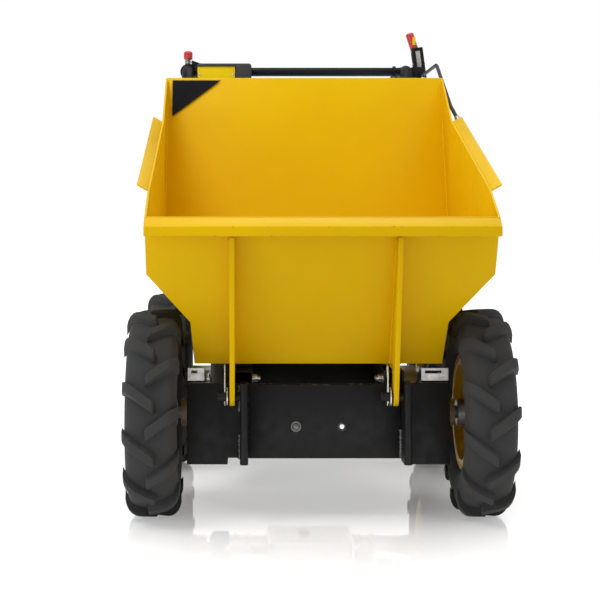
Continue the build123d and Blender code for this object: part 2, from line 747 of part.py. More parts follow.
with BuildPart() as knob:
    with BuildSketch(Plane.XY.offset(GRIP_Z + HANDLE_R + SEAT_GAP + STEM_R + STEM_H)):
        with Locations((-GRIP_X, bar_y)):
            Circle(KNOB_R)
    extrude(amount=KNOB_H)
    chamfer(knob.edges().sort_by(Axis.Z)[-1], KNOB_R / 3)
save(knob, "throttle_knob")

# Engine deck and engine
with BuildPart() as deck:
    with BuildSketch(Plane.XY.offset(RAIL_TOP_Z)):
        with Locations((0, (DECK_FRONT_Y + DECK_REAR_Y) / 2)):
            Rectangle(DECK_W, DECK_L)
    extrude(amount=DECK_T)
save(deck, "engine_deck")

case_top_z = DECK_Z + CASE_H
crank_z = DECK_Z + COWL_LIFT + COWL_R
cylinder_foot = Vector(0, ENGINE_Y - CASE_L / 2, DECK_Z + CYLINDER_RISE)
cylinder_way = Vector(0, -sin(LEAN), cos(LEAN))
cylinder_plane = Plane(origin=cylinder_foot, x_dir=(1, 0, 0), z_dir=cylinder_way)
with BuildPart() as engine_block:
    with BuildSketch(Plane.XY.offset(DECK_Z)):
        with Locations((0, ENGINE_Y)):
            RectangleRounded(CASE_W, CASE_L, CASE_ROUND)
    extrude(amount=CASE_H)
    with BuildSketch(cylinder_plane.offset(-CASE_ROUND)):
        RectangleRounded(CORE_W, CORE_L, CASE_ROUND)
    extrude(amount=CASE_ROUND + FIN_COUNT * FIN_PITCH)
    fin_planes = []
    for index in range(FIN_COUNT):
        fin_planes.append(cylinder_plane.offset((index + 1) * FIN_PITCH - FIN_T))
    with BuildSketch(*fin_planes):
        RectangleRounded(FIN_W, FIN_L, CASE_ROUND / 2)
    extrude(amount=FIN_T)
    with BuildSketch(Plane.YZ.offset(CASE_ROUND - CASE_W / 2)):
        with Locations((ENGINE_Y, crank_z)):
            Circle(INPUT_R)
    extrude(amount=CASE_W / 2 - CASE_ROUND - DECK_W / 2)
save(engine_block, "engine_block")

with BuildPart() as cowl:
    with BuildSketch(Plane.YZ.offset(CASE_W / 2)):
        with Locations((ENGINE_Y, crank_z)):
            Circle(COWL_R)
    extrude(amount=COWL_T)
    chamfer(cowl.edges().sort_by(Axis.X)[-1], CASE_ROUND)
save(cowl, "starter_cowl")

# Belt cover from the crankshaft down to the gearbox input, along the left rail
with BuildPart() as belt_cover:
    with BuildSketch(Plane.YZ.offset(-DECK_W / 2)):
        with Locations((ENGINE_Y, crank_z), (GEARBOX_Y, RAIL_LOW_Z - GEARBOX_H / 2)):
            Circle(BELT_R)
        make_hull()
    extrude(amount=-BELT_T)
    chamfer(belt_cover.faces().sort_by(Axis.X)[0].edges(), CASE_ROUND / 2)
save(belt_cover, "belt_cover")

with BuildPart() as tank:
    with BuildSketch(Plane.XY.offset(case_top_z)):
        with Locations((0, ENGINE_Y - TANK_STEP + TANK_L / 2)):
            RectangleRounded(TANK_W, TANK_L, TANK_ROUND)
    extrude(amount=TANK_H)
    fillet(tank.faces().sort_by(Axis.Z)[-1].edges(), TANK_ROUND - SEAT_GAP)
save(tank, "fuel_tank")

# Muffler on the right of the cylinder, air filter on the left
pod_mid = cylinder_foot + cylinder_way * (FIN_COUNT * FIN_PITCH / 2)
PODS = [
    # name, side
    ("air_filter", -1),
    ("muffler", 1),
]
for name, side in PODS:
    with BuildPart() as pod:
        with BuildSketch(Plane.YZ.offset(side * FIN_W / 2)):
            with Locations((ENGINE_Y - CASE_L / 2 - POD_GAP - POD_L / 2, pod_mid.Z)):
                RectangleRounded(POD_L, POD_H, POD_ROUND)
        extrude(amount=side * POD_W)
    save(pod, name)
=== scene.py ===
"""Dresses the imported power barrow: finishes, tyres, welds, fasteners, engine detail, stage and camera.

All sizes are in metres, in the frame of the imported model: +Y from the lip to the grips, +Z up.
"""

from __future__ import annotations

import json
import logging
import math
from dataclasses import dataclass, field
from enum import Enum
from itertools import product
from typing import Sequence

import bmesh
import bpy
from mathutils import Matrix, Vector

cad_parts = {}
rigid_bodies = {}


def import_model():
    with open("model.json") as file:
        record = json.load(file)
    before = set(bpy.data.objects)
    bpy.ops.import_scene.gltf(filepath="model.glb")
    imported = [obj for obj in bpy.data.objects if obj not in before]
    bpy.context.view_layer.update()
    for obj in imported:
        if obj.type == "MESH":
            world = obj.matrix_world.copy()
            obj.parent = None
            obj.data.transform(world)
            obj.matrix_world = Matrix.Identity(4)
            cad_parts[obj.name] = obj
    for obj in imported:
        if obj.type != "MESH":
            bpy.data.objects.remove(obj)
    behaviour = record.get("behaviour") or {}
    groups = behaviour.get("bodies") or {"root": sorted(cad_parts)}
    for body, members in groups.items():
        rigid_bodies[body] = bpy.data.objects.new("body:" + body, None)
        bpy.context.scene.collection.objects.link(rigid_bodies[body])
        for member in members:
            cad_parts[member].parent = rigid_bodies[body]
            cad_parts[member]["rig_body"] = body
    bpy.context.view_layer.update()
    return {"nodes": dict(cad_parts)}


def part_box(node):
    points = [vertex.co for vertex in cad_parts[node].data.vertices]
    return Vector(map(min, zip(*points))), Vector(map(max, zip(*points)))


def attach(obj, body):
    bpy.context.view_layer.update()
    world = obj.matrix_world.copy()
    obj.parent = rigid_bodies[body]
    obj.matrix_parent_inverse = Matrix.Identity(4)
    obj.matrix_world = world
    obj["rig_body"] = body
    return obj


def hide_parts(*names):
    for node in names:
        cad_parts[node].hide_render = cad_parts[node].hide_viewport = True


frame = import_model()
log = logging.getLogger("barrow")

Point = tuple[float, float, float]
Flat = tuple[float, float]
Color = tuple[float, float, float]
Socket = bpy.types.NodeSocket
WHEELS = ("front_left", "front_right", "rear_left", "rear_right")
IMAGE_SIDE = 600.0
SENSOR = 36.0
# Mesh attribute of rounded edges and lug tips. It drives edge chips and dust, and on dark finishes its paler edges
# are partly a painted highlight.
WEAR_AND_HIGHLIGHT = "wear_and_highlight"
SIDES = (-1, 1)
EARS = (-0.170, 0.148)
HERE = Matrix.Identity(4)
ORIGIN: Point = (0, 0, 0)
RIGHT: Point = (1, 0, 0)
LEFT: Point = (-1, 0, 0)
AFT: Point = (0, 1, 0)
FORE: Point = (0, -1, 0)
UP: Point = (0, 0, 1)
DOWN: Point = (0, 0, -1)
MERGE_GAP = 0.00002
FLAT_ANGLE = math.radians(0.6)
EASE_SHARP = math.radians(25)
EASE_STEPS = 2


class Body(Enum):
    """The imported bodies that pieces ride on."""

    CHASSIS = "chassis"
    SKIP = "skip"

    @staticmethod
    def wheel(name: str) -> str:
        """The body name of one wheel."""
        return f"wheel_{name}"


class Graph:
    """A material's node tree, built up by short calls."""

    def __init__(self, name: str) -> None:
        """Start a material with one Principled shader on its output.

        Args:
            name: The material's name.
        """
        self.material = bpy.data.materials.new(name)
        self.material.use_nodes = True
        self.tree = self.material.node_tree
        self.shader = self.tree.nodes["Principled BSDF"]
        self.place = self.add("ShaderNodeTexCoord").outputs["Object"]

    def add(self, kind: str, **settings: object) -> bpy.types.Node:
        """Add a node and set its plain properties.

        Args:
            kind: The node's type name.
            settings: Properties of the node.

        Returns:
            The new node.
        """
        node = self.tree.nodes.new(kind)
        for key, value in settings.items():
            setattr(node, key, value)
        return node

    def set(self, **values: object) -> None:
        """Set constants on the shader's own sockets, with underscores for spaces."""
        for key, value in values.items():
            self.shader.inputs[key.replace("_", " ")].default_value = value

    def link(self, source: Socket, target: Socket) -> None:
        """Join two sockets."""
        self.tree.links.new(source, target)

    def noise(self, scale: float, detail: float = 4.0, stretch: Point = (1, 1, 1), rough: float = 0.55) -> Socket:
        """Noise on Object coordinates.

        Args:
            scale: Waves per metre.
            detail: Octaves.
            stretch: Scale of each axis before the noise.
            rough: Share that each octave adds.

        Returns:
            The noise value's socket.
        """
        turn = self.add("ShaderNodeMapping")
        turn.inputs["Scale"].default_value = stretch
        self.link(self.place, turn.inputs["Vector"])
        node = self.add("ShaderNodeTexNoise")
        node.inputs["Scale"].default_value = scale
        node.inputs["Detail"].default_value = detail
        node.inputs["Roughness"].default_value = rough
        self.link(turn.outputs["Vector"], node.inputs["Vector"])
        return node.outputs["Fac"]

    def span(self, value: Socket, low: float, high: float, to_low: float, to_high: float) -> Socket:
        """Map a value's range to another one, clamped.

        Args:
            value: The source socket.
            low: Start of the source range.
            high: End of the source range.
            to_low: Result at low.
            to_high: Result at high.

        Returns:
            The mapped value's socket.
        """
        node = self.add("ShaderNodeMapRange")
        for index, number in enumerate((low, high, to_low, to_high), start=1):
            node.inputs[index].default_value = number
        self.link(value, node.inputs[0])
        return node.outputs[0]

    def blend(self, amount: Socket, first: object, second: object) -> Socket:
        """Mix two colours, each a constant or a socket.

        Args:
            amount: Share of the second colour.
            first: Colour at 0.
            second: Colour at 1.

        Returns:
            The mixed colour's socket.
        """
        node = self.add("ShaderNodeMix", data_type="RGBA")
        self.link(amount, node.inputs[0])
        for index, value in ((6, first), (7, second)):
            if isinstance(value, tuple):
                node.inputs[index].default_value = (*value, 1.0)
            else:
                self.link(value, node.inputs[index])
        return node.outputs[2]

    def patches(self, scale: float, detail: float, rough: float, reach: Flat, result: Flat) -> Socket:
        """Noise mapped to a range.

        Args:
            scale: Waves per metre.
            detail: Octaves.
            rough: Share that each octave adds.
            reach: Range of the noise.
            result: Range that it becomes.

        Returns:
            The mapped value's socket.
        """
        return self.span(self.noise(scale, detail, rough=rough), *reach, *result)

    def times(self, first: Socket, second: Socket) -> Socket:
        """The product of two values."""
        node = self.add("ShaderNodeMath", operation="MULTIPLY")
        self.link(first, node.inputs[0])
        self.link(second, node.inputs[1])
        return node.outputs[0]

    def edges(self) -> Socket:
        """The mesh's wear and highlight attribute, which on dark finishes also paints a paler highlight on the
        edges.

        Returns:
            A value of 1 on rounded edges and lug tips, and 0 elsewhere.
        """
        return self.add("ShaderNodeAttribute", attribute_name=WEAR_AND_HIGHLIGHT).outputs["Fac"]

    def color(self, value: Socket) -> None:
        """Join the shader's base colour."""
        self.link(value, self.shader.inputs["Base Color"])

    def roughness(self, value: Socket) -> None:
        """Join the shader's roughness."""
        self.link(value, self.shader.inputs["Roughness"])

    def bump(self, height: Socket, depth: float, strength: float = 1.0) -> None:
        """Bump the shader's normal, on top of a bump made before.

        Args:
            height: The height's socket, 0 to 1.
            depth: Height of 1, in metres.
            strength: Share of the bump.
        """
        node = self.add("ShaderNodeBump")
        node.inputs["Strength"].default_value = strength
        node.inputs["Distance"].default_value = depth
        self.link(height, node.inputs["Height"])
        joined = self.shader.inputs["Normal"].links
        if joined:
            self.link(joined[0].from_socket, node.inputs["Normal"])
        self.link(node.outputs["Normal"], self.shader.inputs["Normal"])


@dataclass(frozen=True)
class Finish:
    """A named surface, made once and shared by its pieces."""

    name: str
    tone: Color

    def dress(self, graph: Graph) -> None:
        """Fill in the finish's nodes; each kind of finish has its own."""
        graph.set(Base_Color=(*self.tone, 1.0))

    def material(self) -> bpy.types.Material:
        """The finish's material, made on first use.

        Returns:
            The material.
        """
        found = bpy.data.materials.get(self.name)
        if found:
            return found
        graph = Graph(self.name)
        self.dress(graph)
        return graph.material


@dataclass(frozen=True)
class Enamel(Finish):
    """Sprayed paint on steel: cloudy tone, orange peel, faint scuffs and dust; rounded edges take the chip colour,
    which on black paint is paler and partly a painted highlight.
    """

    shade: Color = (0.5, 0.3, 0.0)
    gloss: float = 0.34
    peel: float = 0.00006
    dust: float = 0.05
    shine: float = 0.24
    glint: Color = (1.0, 0.8, 0.3)
    chip_and_highlight: Color = (0.2, 0.16, 0.08)

    def dress(self, graph: Graph) -> None:
        """Paint nodes."""
        clouds = graph.patches(5.0, 4.0, 0.55, (0.35, 0.7), (0.0, 0.5))
        body = graph.blend(clouds, self.tone, self.shade)
        dusty = graph.patches(18.0, 8.0, 0.72, (0.55, 0.8), (0.0, self.dust))
        body = graph.blend(dusty, body, (0.3, 0.24, 0.14))
        # Rounded edges blend to the chip colour: real chips on the yellow, and on black paint a paler, partly
        # painted highlight.
        edge_wear_and_highlight = graph.times(graph.edges(), graph.patches(110.0, 6.0, 0.75, (0.6, 0.66), (0.0, 0.8)))
        graph.color(graph.blend(edge_wear_and_highlight, body, self.chip_and_highlight))
        streaks = graph.noise(60.0, 6.0, stretch=(1.0, 1.0, 0.12))
        graph.roughness(graph.span(streaks, 0.3, 0.75, self.gloss - 0.05, self.gloss + 0.12))
        graph.bump(graph.noise(420.0, 2.0), self.peel, 0.5)
        graph.bump(graph.noise(7.0, 2.0), 0.0012, 0.3)
        graph.set(Specular_IOR_Level=self.shine, Specular_Tint=(*self.glint, 1.0))


@dataclass(frozen=True)
class Powder(Finish):
    """Matt powder coat: fine grain, grey scuffs, dusty patches, and rounded edges paler grey, partly wear and
    partly a painted highlight.
    """

    gloss: float = 0.46
    scuff: Color = (0.011, 0.011, 0.011)
    shine: float = 0.2

    def dress(self, graph: Graph) -> None:
        """Powder coat nodes."""
        patch = graph.patches(9.0, 7.0, 0.68, (0.42, 0.78), (0.0, 0.7))
        body = graph.blend(patch, self.tone, self.scuff)
        # Rounded edges turn paler grey: partly wear, partly a painted highlight on the edges.
        edge_wear_and_highlight = graph.times(graph.edges(), graph.patches(90.0, 6.0, 0.75, (0.52, 0.64), (0.0, 0.7)))
        graph.color(graph.blend(edge_wear_and_highlight, body, (0.1, 0.1, 0.1)))
        graph.roughness(graph.patches(45.0, 5.0, 0.55, (0.3, 0.7), (self.gloss - 0.1, self.gloss + 0.14)))
        graph.bump(graph.noise(900.0, 2.0), 0.00009, 0.7)
        graph.set(Specular_IOR_Level=self.shine)


@dataclass(frozen=True)
class Rubber(Finish):
    """Tyre or grip rubber: dull, with a pale bloom and dust in its grain."""

    bloom: Color = (0.024, 0.024, 0.027)
    gloss: float = 0.3
    grain: float = 500.0
    dust: Color = (0.075, 0.064, 0.05)
    rubbed: Color = (0.068, 0.06, 0.05)
    dulled: float = 0.5

    def dress(self, graph: Graph) -> None:
        """Rubber nodes."""
        cloud = graph.patches(14.0, 7.0, 0.65, (0.42, 0.75), (0.0, 0.7))
        body = graph.blend(cloud, self.tone, self.bloom)
        dusty = graph.patches(55.0, 8.0, 0.75, (0.58, 0.76), (0.0, 0.4))
        body = graph.blend(dusty, body, self.dust)
        rubbed = graph.times(graph.edges(), graph.patches(60.0, 6.0, 0.7, (0.34, 0.66), (0.1, 0.62)))
        graph.color(graph.blend(rubbed, body, self.rubbed))
        dull = graph.add("ShaderNodeMath", operation="MULTIPLY_ADD")
        graph.link(rubbed, dull.inputs[0])
        dull.inputs[1].default_value = self.dulled
        sheen = graph.patches(30.0, 6.0, 0.55, (0.3, 0.7), (self.gloss - 0.1, self.gloss + 0.12))
        graph.link(sheen, dull.inputs[2])
        graph.roughness(dull.outputs[0])
        graph.bump(graph.noise(self.grain, 3.0), 0.00025, 0.6)
        graph.bump(graph.noise(90.0, 4.0), 0.001, 0.5)
        graph.set(Specular_IOR_Level=0.62)


@dataclass(frozen=True)
class Metal(Finish):
    """Bare or plated metal with fine machining marks and dull patches."""

    gloss: float = 0.34
    tarnish: Color = (0.2, 0.19, 0.18)
    grain: Point = (1.0, 1.0, 1.0)
    cast: float = 0.0

    def dress(self, graph: Graph) -> None:
        """Metal nodes."""
        dull = graph.patches(30.0, 7.0, 0.7, (0.42, 0.72), (0.0, 0.75))
        graph.color(graph.blend(dull, self.tone, self.tarnish))
        marks = graph.noise(260.0, 4.0, stretch=self.grain)
        graph.roughness(graph.span(marks, 0.3, 0.7, self.gloss - 0.1, self.gloss + 0.18))
        graph.bump(marks, 0.00006, 0.5)
        if self.cast:
            graph.bump(graph.noise(650.0, 3.0), self.cast, 0.8)
        graph.set(Metallic=0.92)


@dataclass(frozen=True)
class Moulded(Finish):
    """Moulded plastic with a fine spark-eroded grain."""

    gloss: float = 0.42
    fade: Color = (0.08, 0.08, 0.08)

    def dress(self, graph: Graph) -> None:
        """Plastic nodes."""
        patch = graph.patches(40.0, 6.0, 0.55, (0.42, 0.74), (0.0, 0.5))
        graph.color(graph.blend(patch, self.tone, self.fade))
        graph.roughness(graph.patches(90.0, 4.0, 0.55, (0.3, 0.7), (self.gloss - 0.08, self.gloss + 0.12)))
        graph.bump(graph.noise(1400.0, 2.0), 0.00005, 0.7)
        graph.set(IOR=1.47, Specular_IOR_Level=0.34)


class Coat:
    """The barrow's finishes."""

    YELLOW = Enamel("yellow_enamel", (0.82, 0.5, 0.0), shade=(0.76, 0.44, 0.0))
    WHEEL = Enamel("wheel_enamel", (0.72, 0.42, 0.004), shade=(0.5, 0.28, 0.003), dust=0.3)
    BLACK = Powder("black_powder_coat", (0.0055, 0.0055, 0.006))
    # The paler chip colour on its rounded edges is partly a painted highlight.
    GLOSS_BLACK = Enamel(
        "engine_enamel", (0.01, 0.01, 0.011), shade=(0.017, 0.017, 0.017), gloss=0.24, dust=0.08, shine=0.4,
        glint=(1.0, 1.0, 1.0), chip_and_highlight=(0.1, 0.1, 0.1),
    )
    TYRE = Rubber("tyre_rubber", (0.006, 0.006, 0.0066), bloom=(0.013, 0.013, 0.0145))
    GRIP = Rubber("grip_rubber", (0.012, 0.012, 0.012), bloom=(0.03, 0.03, 0.03), gloss=0.62, grain=900.0)
    STEEL = Metal("machined_steel", (0.5, 0.49, 0.47))
    WELD = Metal("weld_steel", (0.16, 0.16, 0.16), gloss=0.4, tarnish=(0.07, 0.07, 0.07))
    ZINC = Metal("zinc_plate", (0.66, 0.65, 0.62), gloss=0.28, tarnish=(0.42, 0.4, 0.36))
    CAST = Metal("cast_alloy", (0.3, 0.3, 0.31), gloss=0.5, tarnish=(0.16, 0.16, 0.16), cast=0.0002)
    HOT = Metal("heat_tinted_steel", (0.46, 0.42, 0.38), gloss=0.42, tarnish=(0.2, 0.13, 0.08))
    PLASTIC = Moulded("black_plastic", (0.012, 0.012, 0.013), fade=(0.03, 0.03, 0.03))
    RED = Moulded("red_plastic", (0.42, 0.022, 0.026), gloss=0.34, fade=(0.3, 0.03, 0.035))
    PATCH = Powder("patch_black", (0.006, 0.006, 0.0075), scuff=(0.009, 0.009, 0.01), shine=0.12)
    LABEL = Enamel("label_yellow", (0.95, 0.68, 0.01), shade=(0.88, 0.6, 0.01), dust=0.04)


def rounded(
    mesh: bmesh.types.BMesh, edges: list[bmesh.types.BMEdge], width: float,
) -> list[bmesh.types.BMFace]:
    """Round some edges of a mesh.

    Args:
        mesh: The mesh.
        edges: Its edges to round.
        width: Radius of the rounding.

    Returns:
        The new faces.
    """
    made = bmesh.ops.bevel(
        mesh, geom=edges, offset=width, segments=EASE_STEPS, affect="EDGES", clamp_overlap=True, profile=0.5,
    )
    return made["faces"]


def circle(radius: float, count: int) -> list[Flat]:
    """Points on a circle about the origin.

    Args:
        radius: Its radius.
        count: Number of points.

    Returns:
        The points, anticlockwise from +X.
    """
    angles = [2 * math.pi * step / count for step in range(count)]
    return [(radius * math.cos(angle), radius * math.sin(angle)) for angle in angles]


class Shape:
    """A mesh under construction, made of plain solids placed by matrices."""

    SHARP = math.radians(28)
    WASHER_SHARE = 1.35
    WASHER_THICK = 0.22
    SHANK_SHARE = 0.29
    SINK = 0.001

    def __init__(self) -> None:
        """Start empty."""
        self.mesh = bmesh.new()

    def _place(self, corners: Sequence[Point], place: Matrix) -> list[bmesh.types.BMVert]:
        """Add vertices after moving them by a matrix."""
        return [self.mesh.verts.new(place @ Vector(corner)) for corner in corners]

    def _skin(self, loops: list[list[bmesh.types.BMVert]], wrap: bool = False) -> list[bmesh.types.BMFace]:
        """Join vertex loops of equal length by faces.

        Args:
            loops: The loops in order.
            wrap: Whether the last loop joins the first, so that there are no ends to close.

        Returns:
            The new faces.
        """
        count = len(loops[0])
        faces = []
        for lower, upper in zip(loops, loops[1:] + loops[:1] if wrap else loops[1:]):
            for index in range(count):
                after = (index + 1) % count
                faces.append(self.mesh.faces.new((lower[index], lower[after], upper[after], upper[index])))
        if not wrap:
            faces += [self.mesh.faces.new(loops[0][::-1]), self.mesh.faces.new(loops[-1])]
        return faces

    def _ease(self, faces: Sequence[bmesh.types.BMFace], width: float) -> None:
        """Round the sharp edges of some faces."""
        if width <= 0.0:
            return
        self.mesh.normal_update()
        edges = {edge for face in faces for edge in face.edges if abs(edge.calc_face_angle(0.0)) > self.SHARP}
        rounded(self.mesh, list(edges), width)

    def box(self, low: Point, high: Point, ease: float = 0.0, place: Matrix = HERE) -> "Shape":
        """Add a box between two corners.

        Args:
            low: Lowest corner.
            high: Highest corner.
            ease: Radius of its edges.
            place: Where it goes.

        Returns:
            This shape.
        """
        outline = [(low[0], low[1]), (high[0], low[1]), (high[0], high[1]), (low[0], high[1])]
        return self.prism(outline, low[2], high[2], ease, place)

    def prism(
        self, outline: Sequence[Flat], low: float, high: float, ease: float = 0.0, place: Matrix = HERE,
    ) -> "Shape":
        """Add a straight prism along local Z.

        Args:
            outline: Corners in local X and Y, anticlockwise.
            low: Start along Z.
            high: End along Z.
            ease: Radius of its edges.
            place: Where it goes.

        Returns:
            This shape.
        """
        under = self._place([(x, y, low) for x, y in outline], place)
        over = self._place([(x, y, high) for x, y in outline], place)
        self._ease(self._skin([under, over]), ease)
        return self

    def turned(self, profile: Sequence[Flat], place: Matrix = HERE, steps: int = 32) -> "Shape":
        """Add a turned solid about local Z.

        Args:
            profile: (radius, height) points up the outside. A radius of 0 closes an end.
            place: Where it goes.
            steps: Facets round the axis.

        Returns:
            This shape.
        """
        rings = []
        for radius, height in profile:
            if radius < 1e-7:
                rings.append(self._place([(0.0, 0.0, height)], place))
                continue
            rings.append(self._place([(x, y, height) for x, y in circle(radius, steps)], place))
        for lower, upper in zip(rings, rings[1:]):
            for step in range(steps):
                after = (step + 1) % steps
                if len(lower) == 1:
                    self.mesh.faces.new((lower[0], upper[after], upper[step]))
                elif len(upper) == 1:
                    self.mesh.faces.new((lower[step], lower[after], upper[0]))
                else:
                    self.mesh.faces.new((lower[step], lower[after], upper[after], upper[step]))
        for ring, flip in ((rings[0], True), (rings[-1], False)):
            if len(ring) > 1:
                self.mesh.faces.new(list(reversed(ring)) if flip else ring)
        return self

    def ring(self, profile: Sequence[Flat], place: Matrix = HERE, steps: int = 96) -> "Shape":
        """Add a turned ring about local Z from a closed profile that stays off the axis.

        Args:
            profile: (radius, height) points round the section.
            place: Where it goes.
            steps: Facets round the axis.

        Returns:
            This shape.
        """
        rings = [self._place([(r * x, r * y, h) for r, h in profile], place) for x, y in circle(1.0, steps)]
        self._skin(rings, wrap=True)
        return self

    def strip(self, sections: Sequence[Sequence[Point]]) -> "Shape":
        """Add a solid skinned over closed sections of equal length, with flat ends.

        Args:
            sections: Point loops in order.

        Returns:
            This shape.
        """
        self._skin([self._place(section, HERE) for section in sections])
        return self

    def tube(self, path: Sequence[Point], radius: float, steps: int = 12) -> "Shape":
        """Add a round wire along a path, with closed ends.

        Args:
            path: Points on its centre line.
            radius: Its radius.
            steps: Facets round it.

        Returns:
            This shape.
        """
        line = [Vector(point) for point in path]
        along = (line[1] - line[0]).normalized()
        side = along.orthogonal().normalized()
        rings = []
        for index, point in enumerate(line):
            before = line[max(index - 1, 0)]
            after = line[min(index + 1, len(line) - 1)]
            tangent = (after - before).normalized()
            side = (side - tangent * side.dot(tangent)).normalized()
            other = tangent.cross(side)
            rings.append(self._place([point + side * x + other * y for x, y in circle(radius, steps)], HERE))
        self._skin(rings)
        return self

    def bolt(self, across: float, height: float, place: Matrix, stud: float = 0.0) -> "Shape":
        """Add a hexagon head on a washer, with an optional stud end.

        Args:
            across: Width across the flats.
            height: Height of the head.
            place: Local Z points out of the surface.
            stud: Length of thread above the head.

        Returns:
            This shape.
        """
        rim = across * self.WASHER_SHARE / 2
        thick = height * self.WASHER_THICK
        self.turned([(rim, -self.SINK), (rim, thick * 0.7), (rim * 0.95, thick), (0.0, thick)], place, 20)
        corner = across / 2 / math.cos(math.pi / 6)
        self.prism(circle(corner, 6), thick * 0.5, thick + height, height * 0.12, place)
        if stud > 0.0:
            shank = across * self.SHANK_SHARE
            top = thick + height + stud
            ease = self.SINK
            self.turned([(shank, height * 0.5), (shank, top - ease), (shank - ease, top), (0.0, top)], place, 16)
        return self

    def dome(self, radius: float, height: float, place: Matrix, steps: int = 20) -> "Shape":
        """Add a rounded rivet or bolt head on local Z.

        Args:
            radius: Its radius.
            height: Its height.
            place: Local Z points out of the surface.
            steps: Facets round it.

        Returns:
            This shape.
        """
        rise = [math.pi / 2 * step / 6 for step in range(6)]
        arc = [(radius * math.cos(angle), height * math.sin(angle)) for angle in rise]
        return self.turned([(radius, -self.SINK), *arc, (0.0, height)], place, steps)

    def join(self, other: "Shape", place: Matrix = HERE) -> "Shape":
        """Add a moved copy of another shape.

        Args:
            other: The shape to copy.
            place: Where the copy goes.

        Returns:
            This shape.
        """
        made = bpy.data.meshes.new("part")
        other.mesh.to_mesh(made)
        made.transform(place)
        self.mesh.from_mesh(made)
        bpy.data.meshes.remove(made)
        return self

    def repeated(self, count: int, turn: Point = ORIGIN, move: Point = ORIGIN) -> "Shape":
        """This shape repeated by Geometry Nodes, each copy turned and moved one step on from the last.

        Args:
            count: Number of copies.
            turn: Step of rotation about the origin, in radians.
            move: Step of translation.

        Returns:
            A new shape with every copy.
        """
        return Repeater.shared().steps(self, count, turn, move)

    def circled(self, count: int, centre: Vector, axis: int = 0) -> "Shape":
        """Copies of this shape on a full circle.

        Args:
            count: Number of copies.
            centre: Where the origin goes.
            axis: Index of the axis that they go round.

        Returns:
            A new shape with every copy.
        """
        turn = [0.0, 0.0, 0.0]
        turn[axis] = 2 * math.pi / count
        return Shape().join(self.repeated(count, turn=tuple(turn)), Matrix.Translation(centre))

    def show(
        self, name: str, finish: Finish, body: str = Body.CHASSIS.value, smooth: float = 35.0,
        nodes: Sequence[str] = (),
    ) -> bpy.types.Object:
        """Make the shape an object of the barrow.

        Args:
            name: The piece's name.
            finish: Its finish.
            body: The body that it rides on.
            smooth: Edges that bend more than this, in degrees, stay sharp.
            nodes: CAD nodes that it stands for.

        Returns:
            The object.
        """
        bmesh.ops.recalc_face_normals(self.mesh, faces=self.mesh.faces)
        made = bpy.data.meshes.new(name)
        self.mesh.to_mesh(made)
        self.mesh.free()
        return present(made, name, finish, body, smooth, nodes)


def present(
    made: bpy.types.Mesh, name: str, finish: Finish, body: str, smooth: float, nodes: Sequence[str],
) -> bpy.types.Object:
    """Show a mesh as a piece that rides on a body.

    Args:
        made: The finished mesh, already in its place.
        name: The piece's name.
        finish: Its finish.
        body: The body's name.
        smooth: Sharp-edge angle in degrees.
        nodes: CAD nodes that it stands for.

    Returns:
        The object.
    """
    made.materials.clear()
    made.materials.append(finish.material())
    made.polygons.foreach_set("use_smooth", [True] * len(made.polygons))
    made.set_sharp_from_angle(angle=math.radians(smooth))
    made.update()
    piece = bpy.data.objects.new(name, made)
    bpy.context.scene.collection.objects.link(piece)
    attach(piece, body)
    if nodes:
        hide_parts(*nodes)
    log.info("%s: %d faces on %s", name, len(made.polygons), body)
    return piece


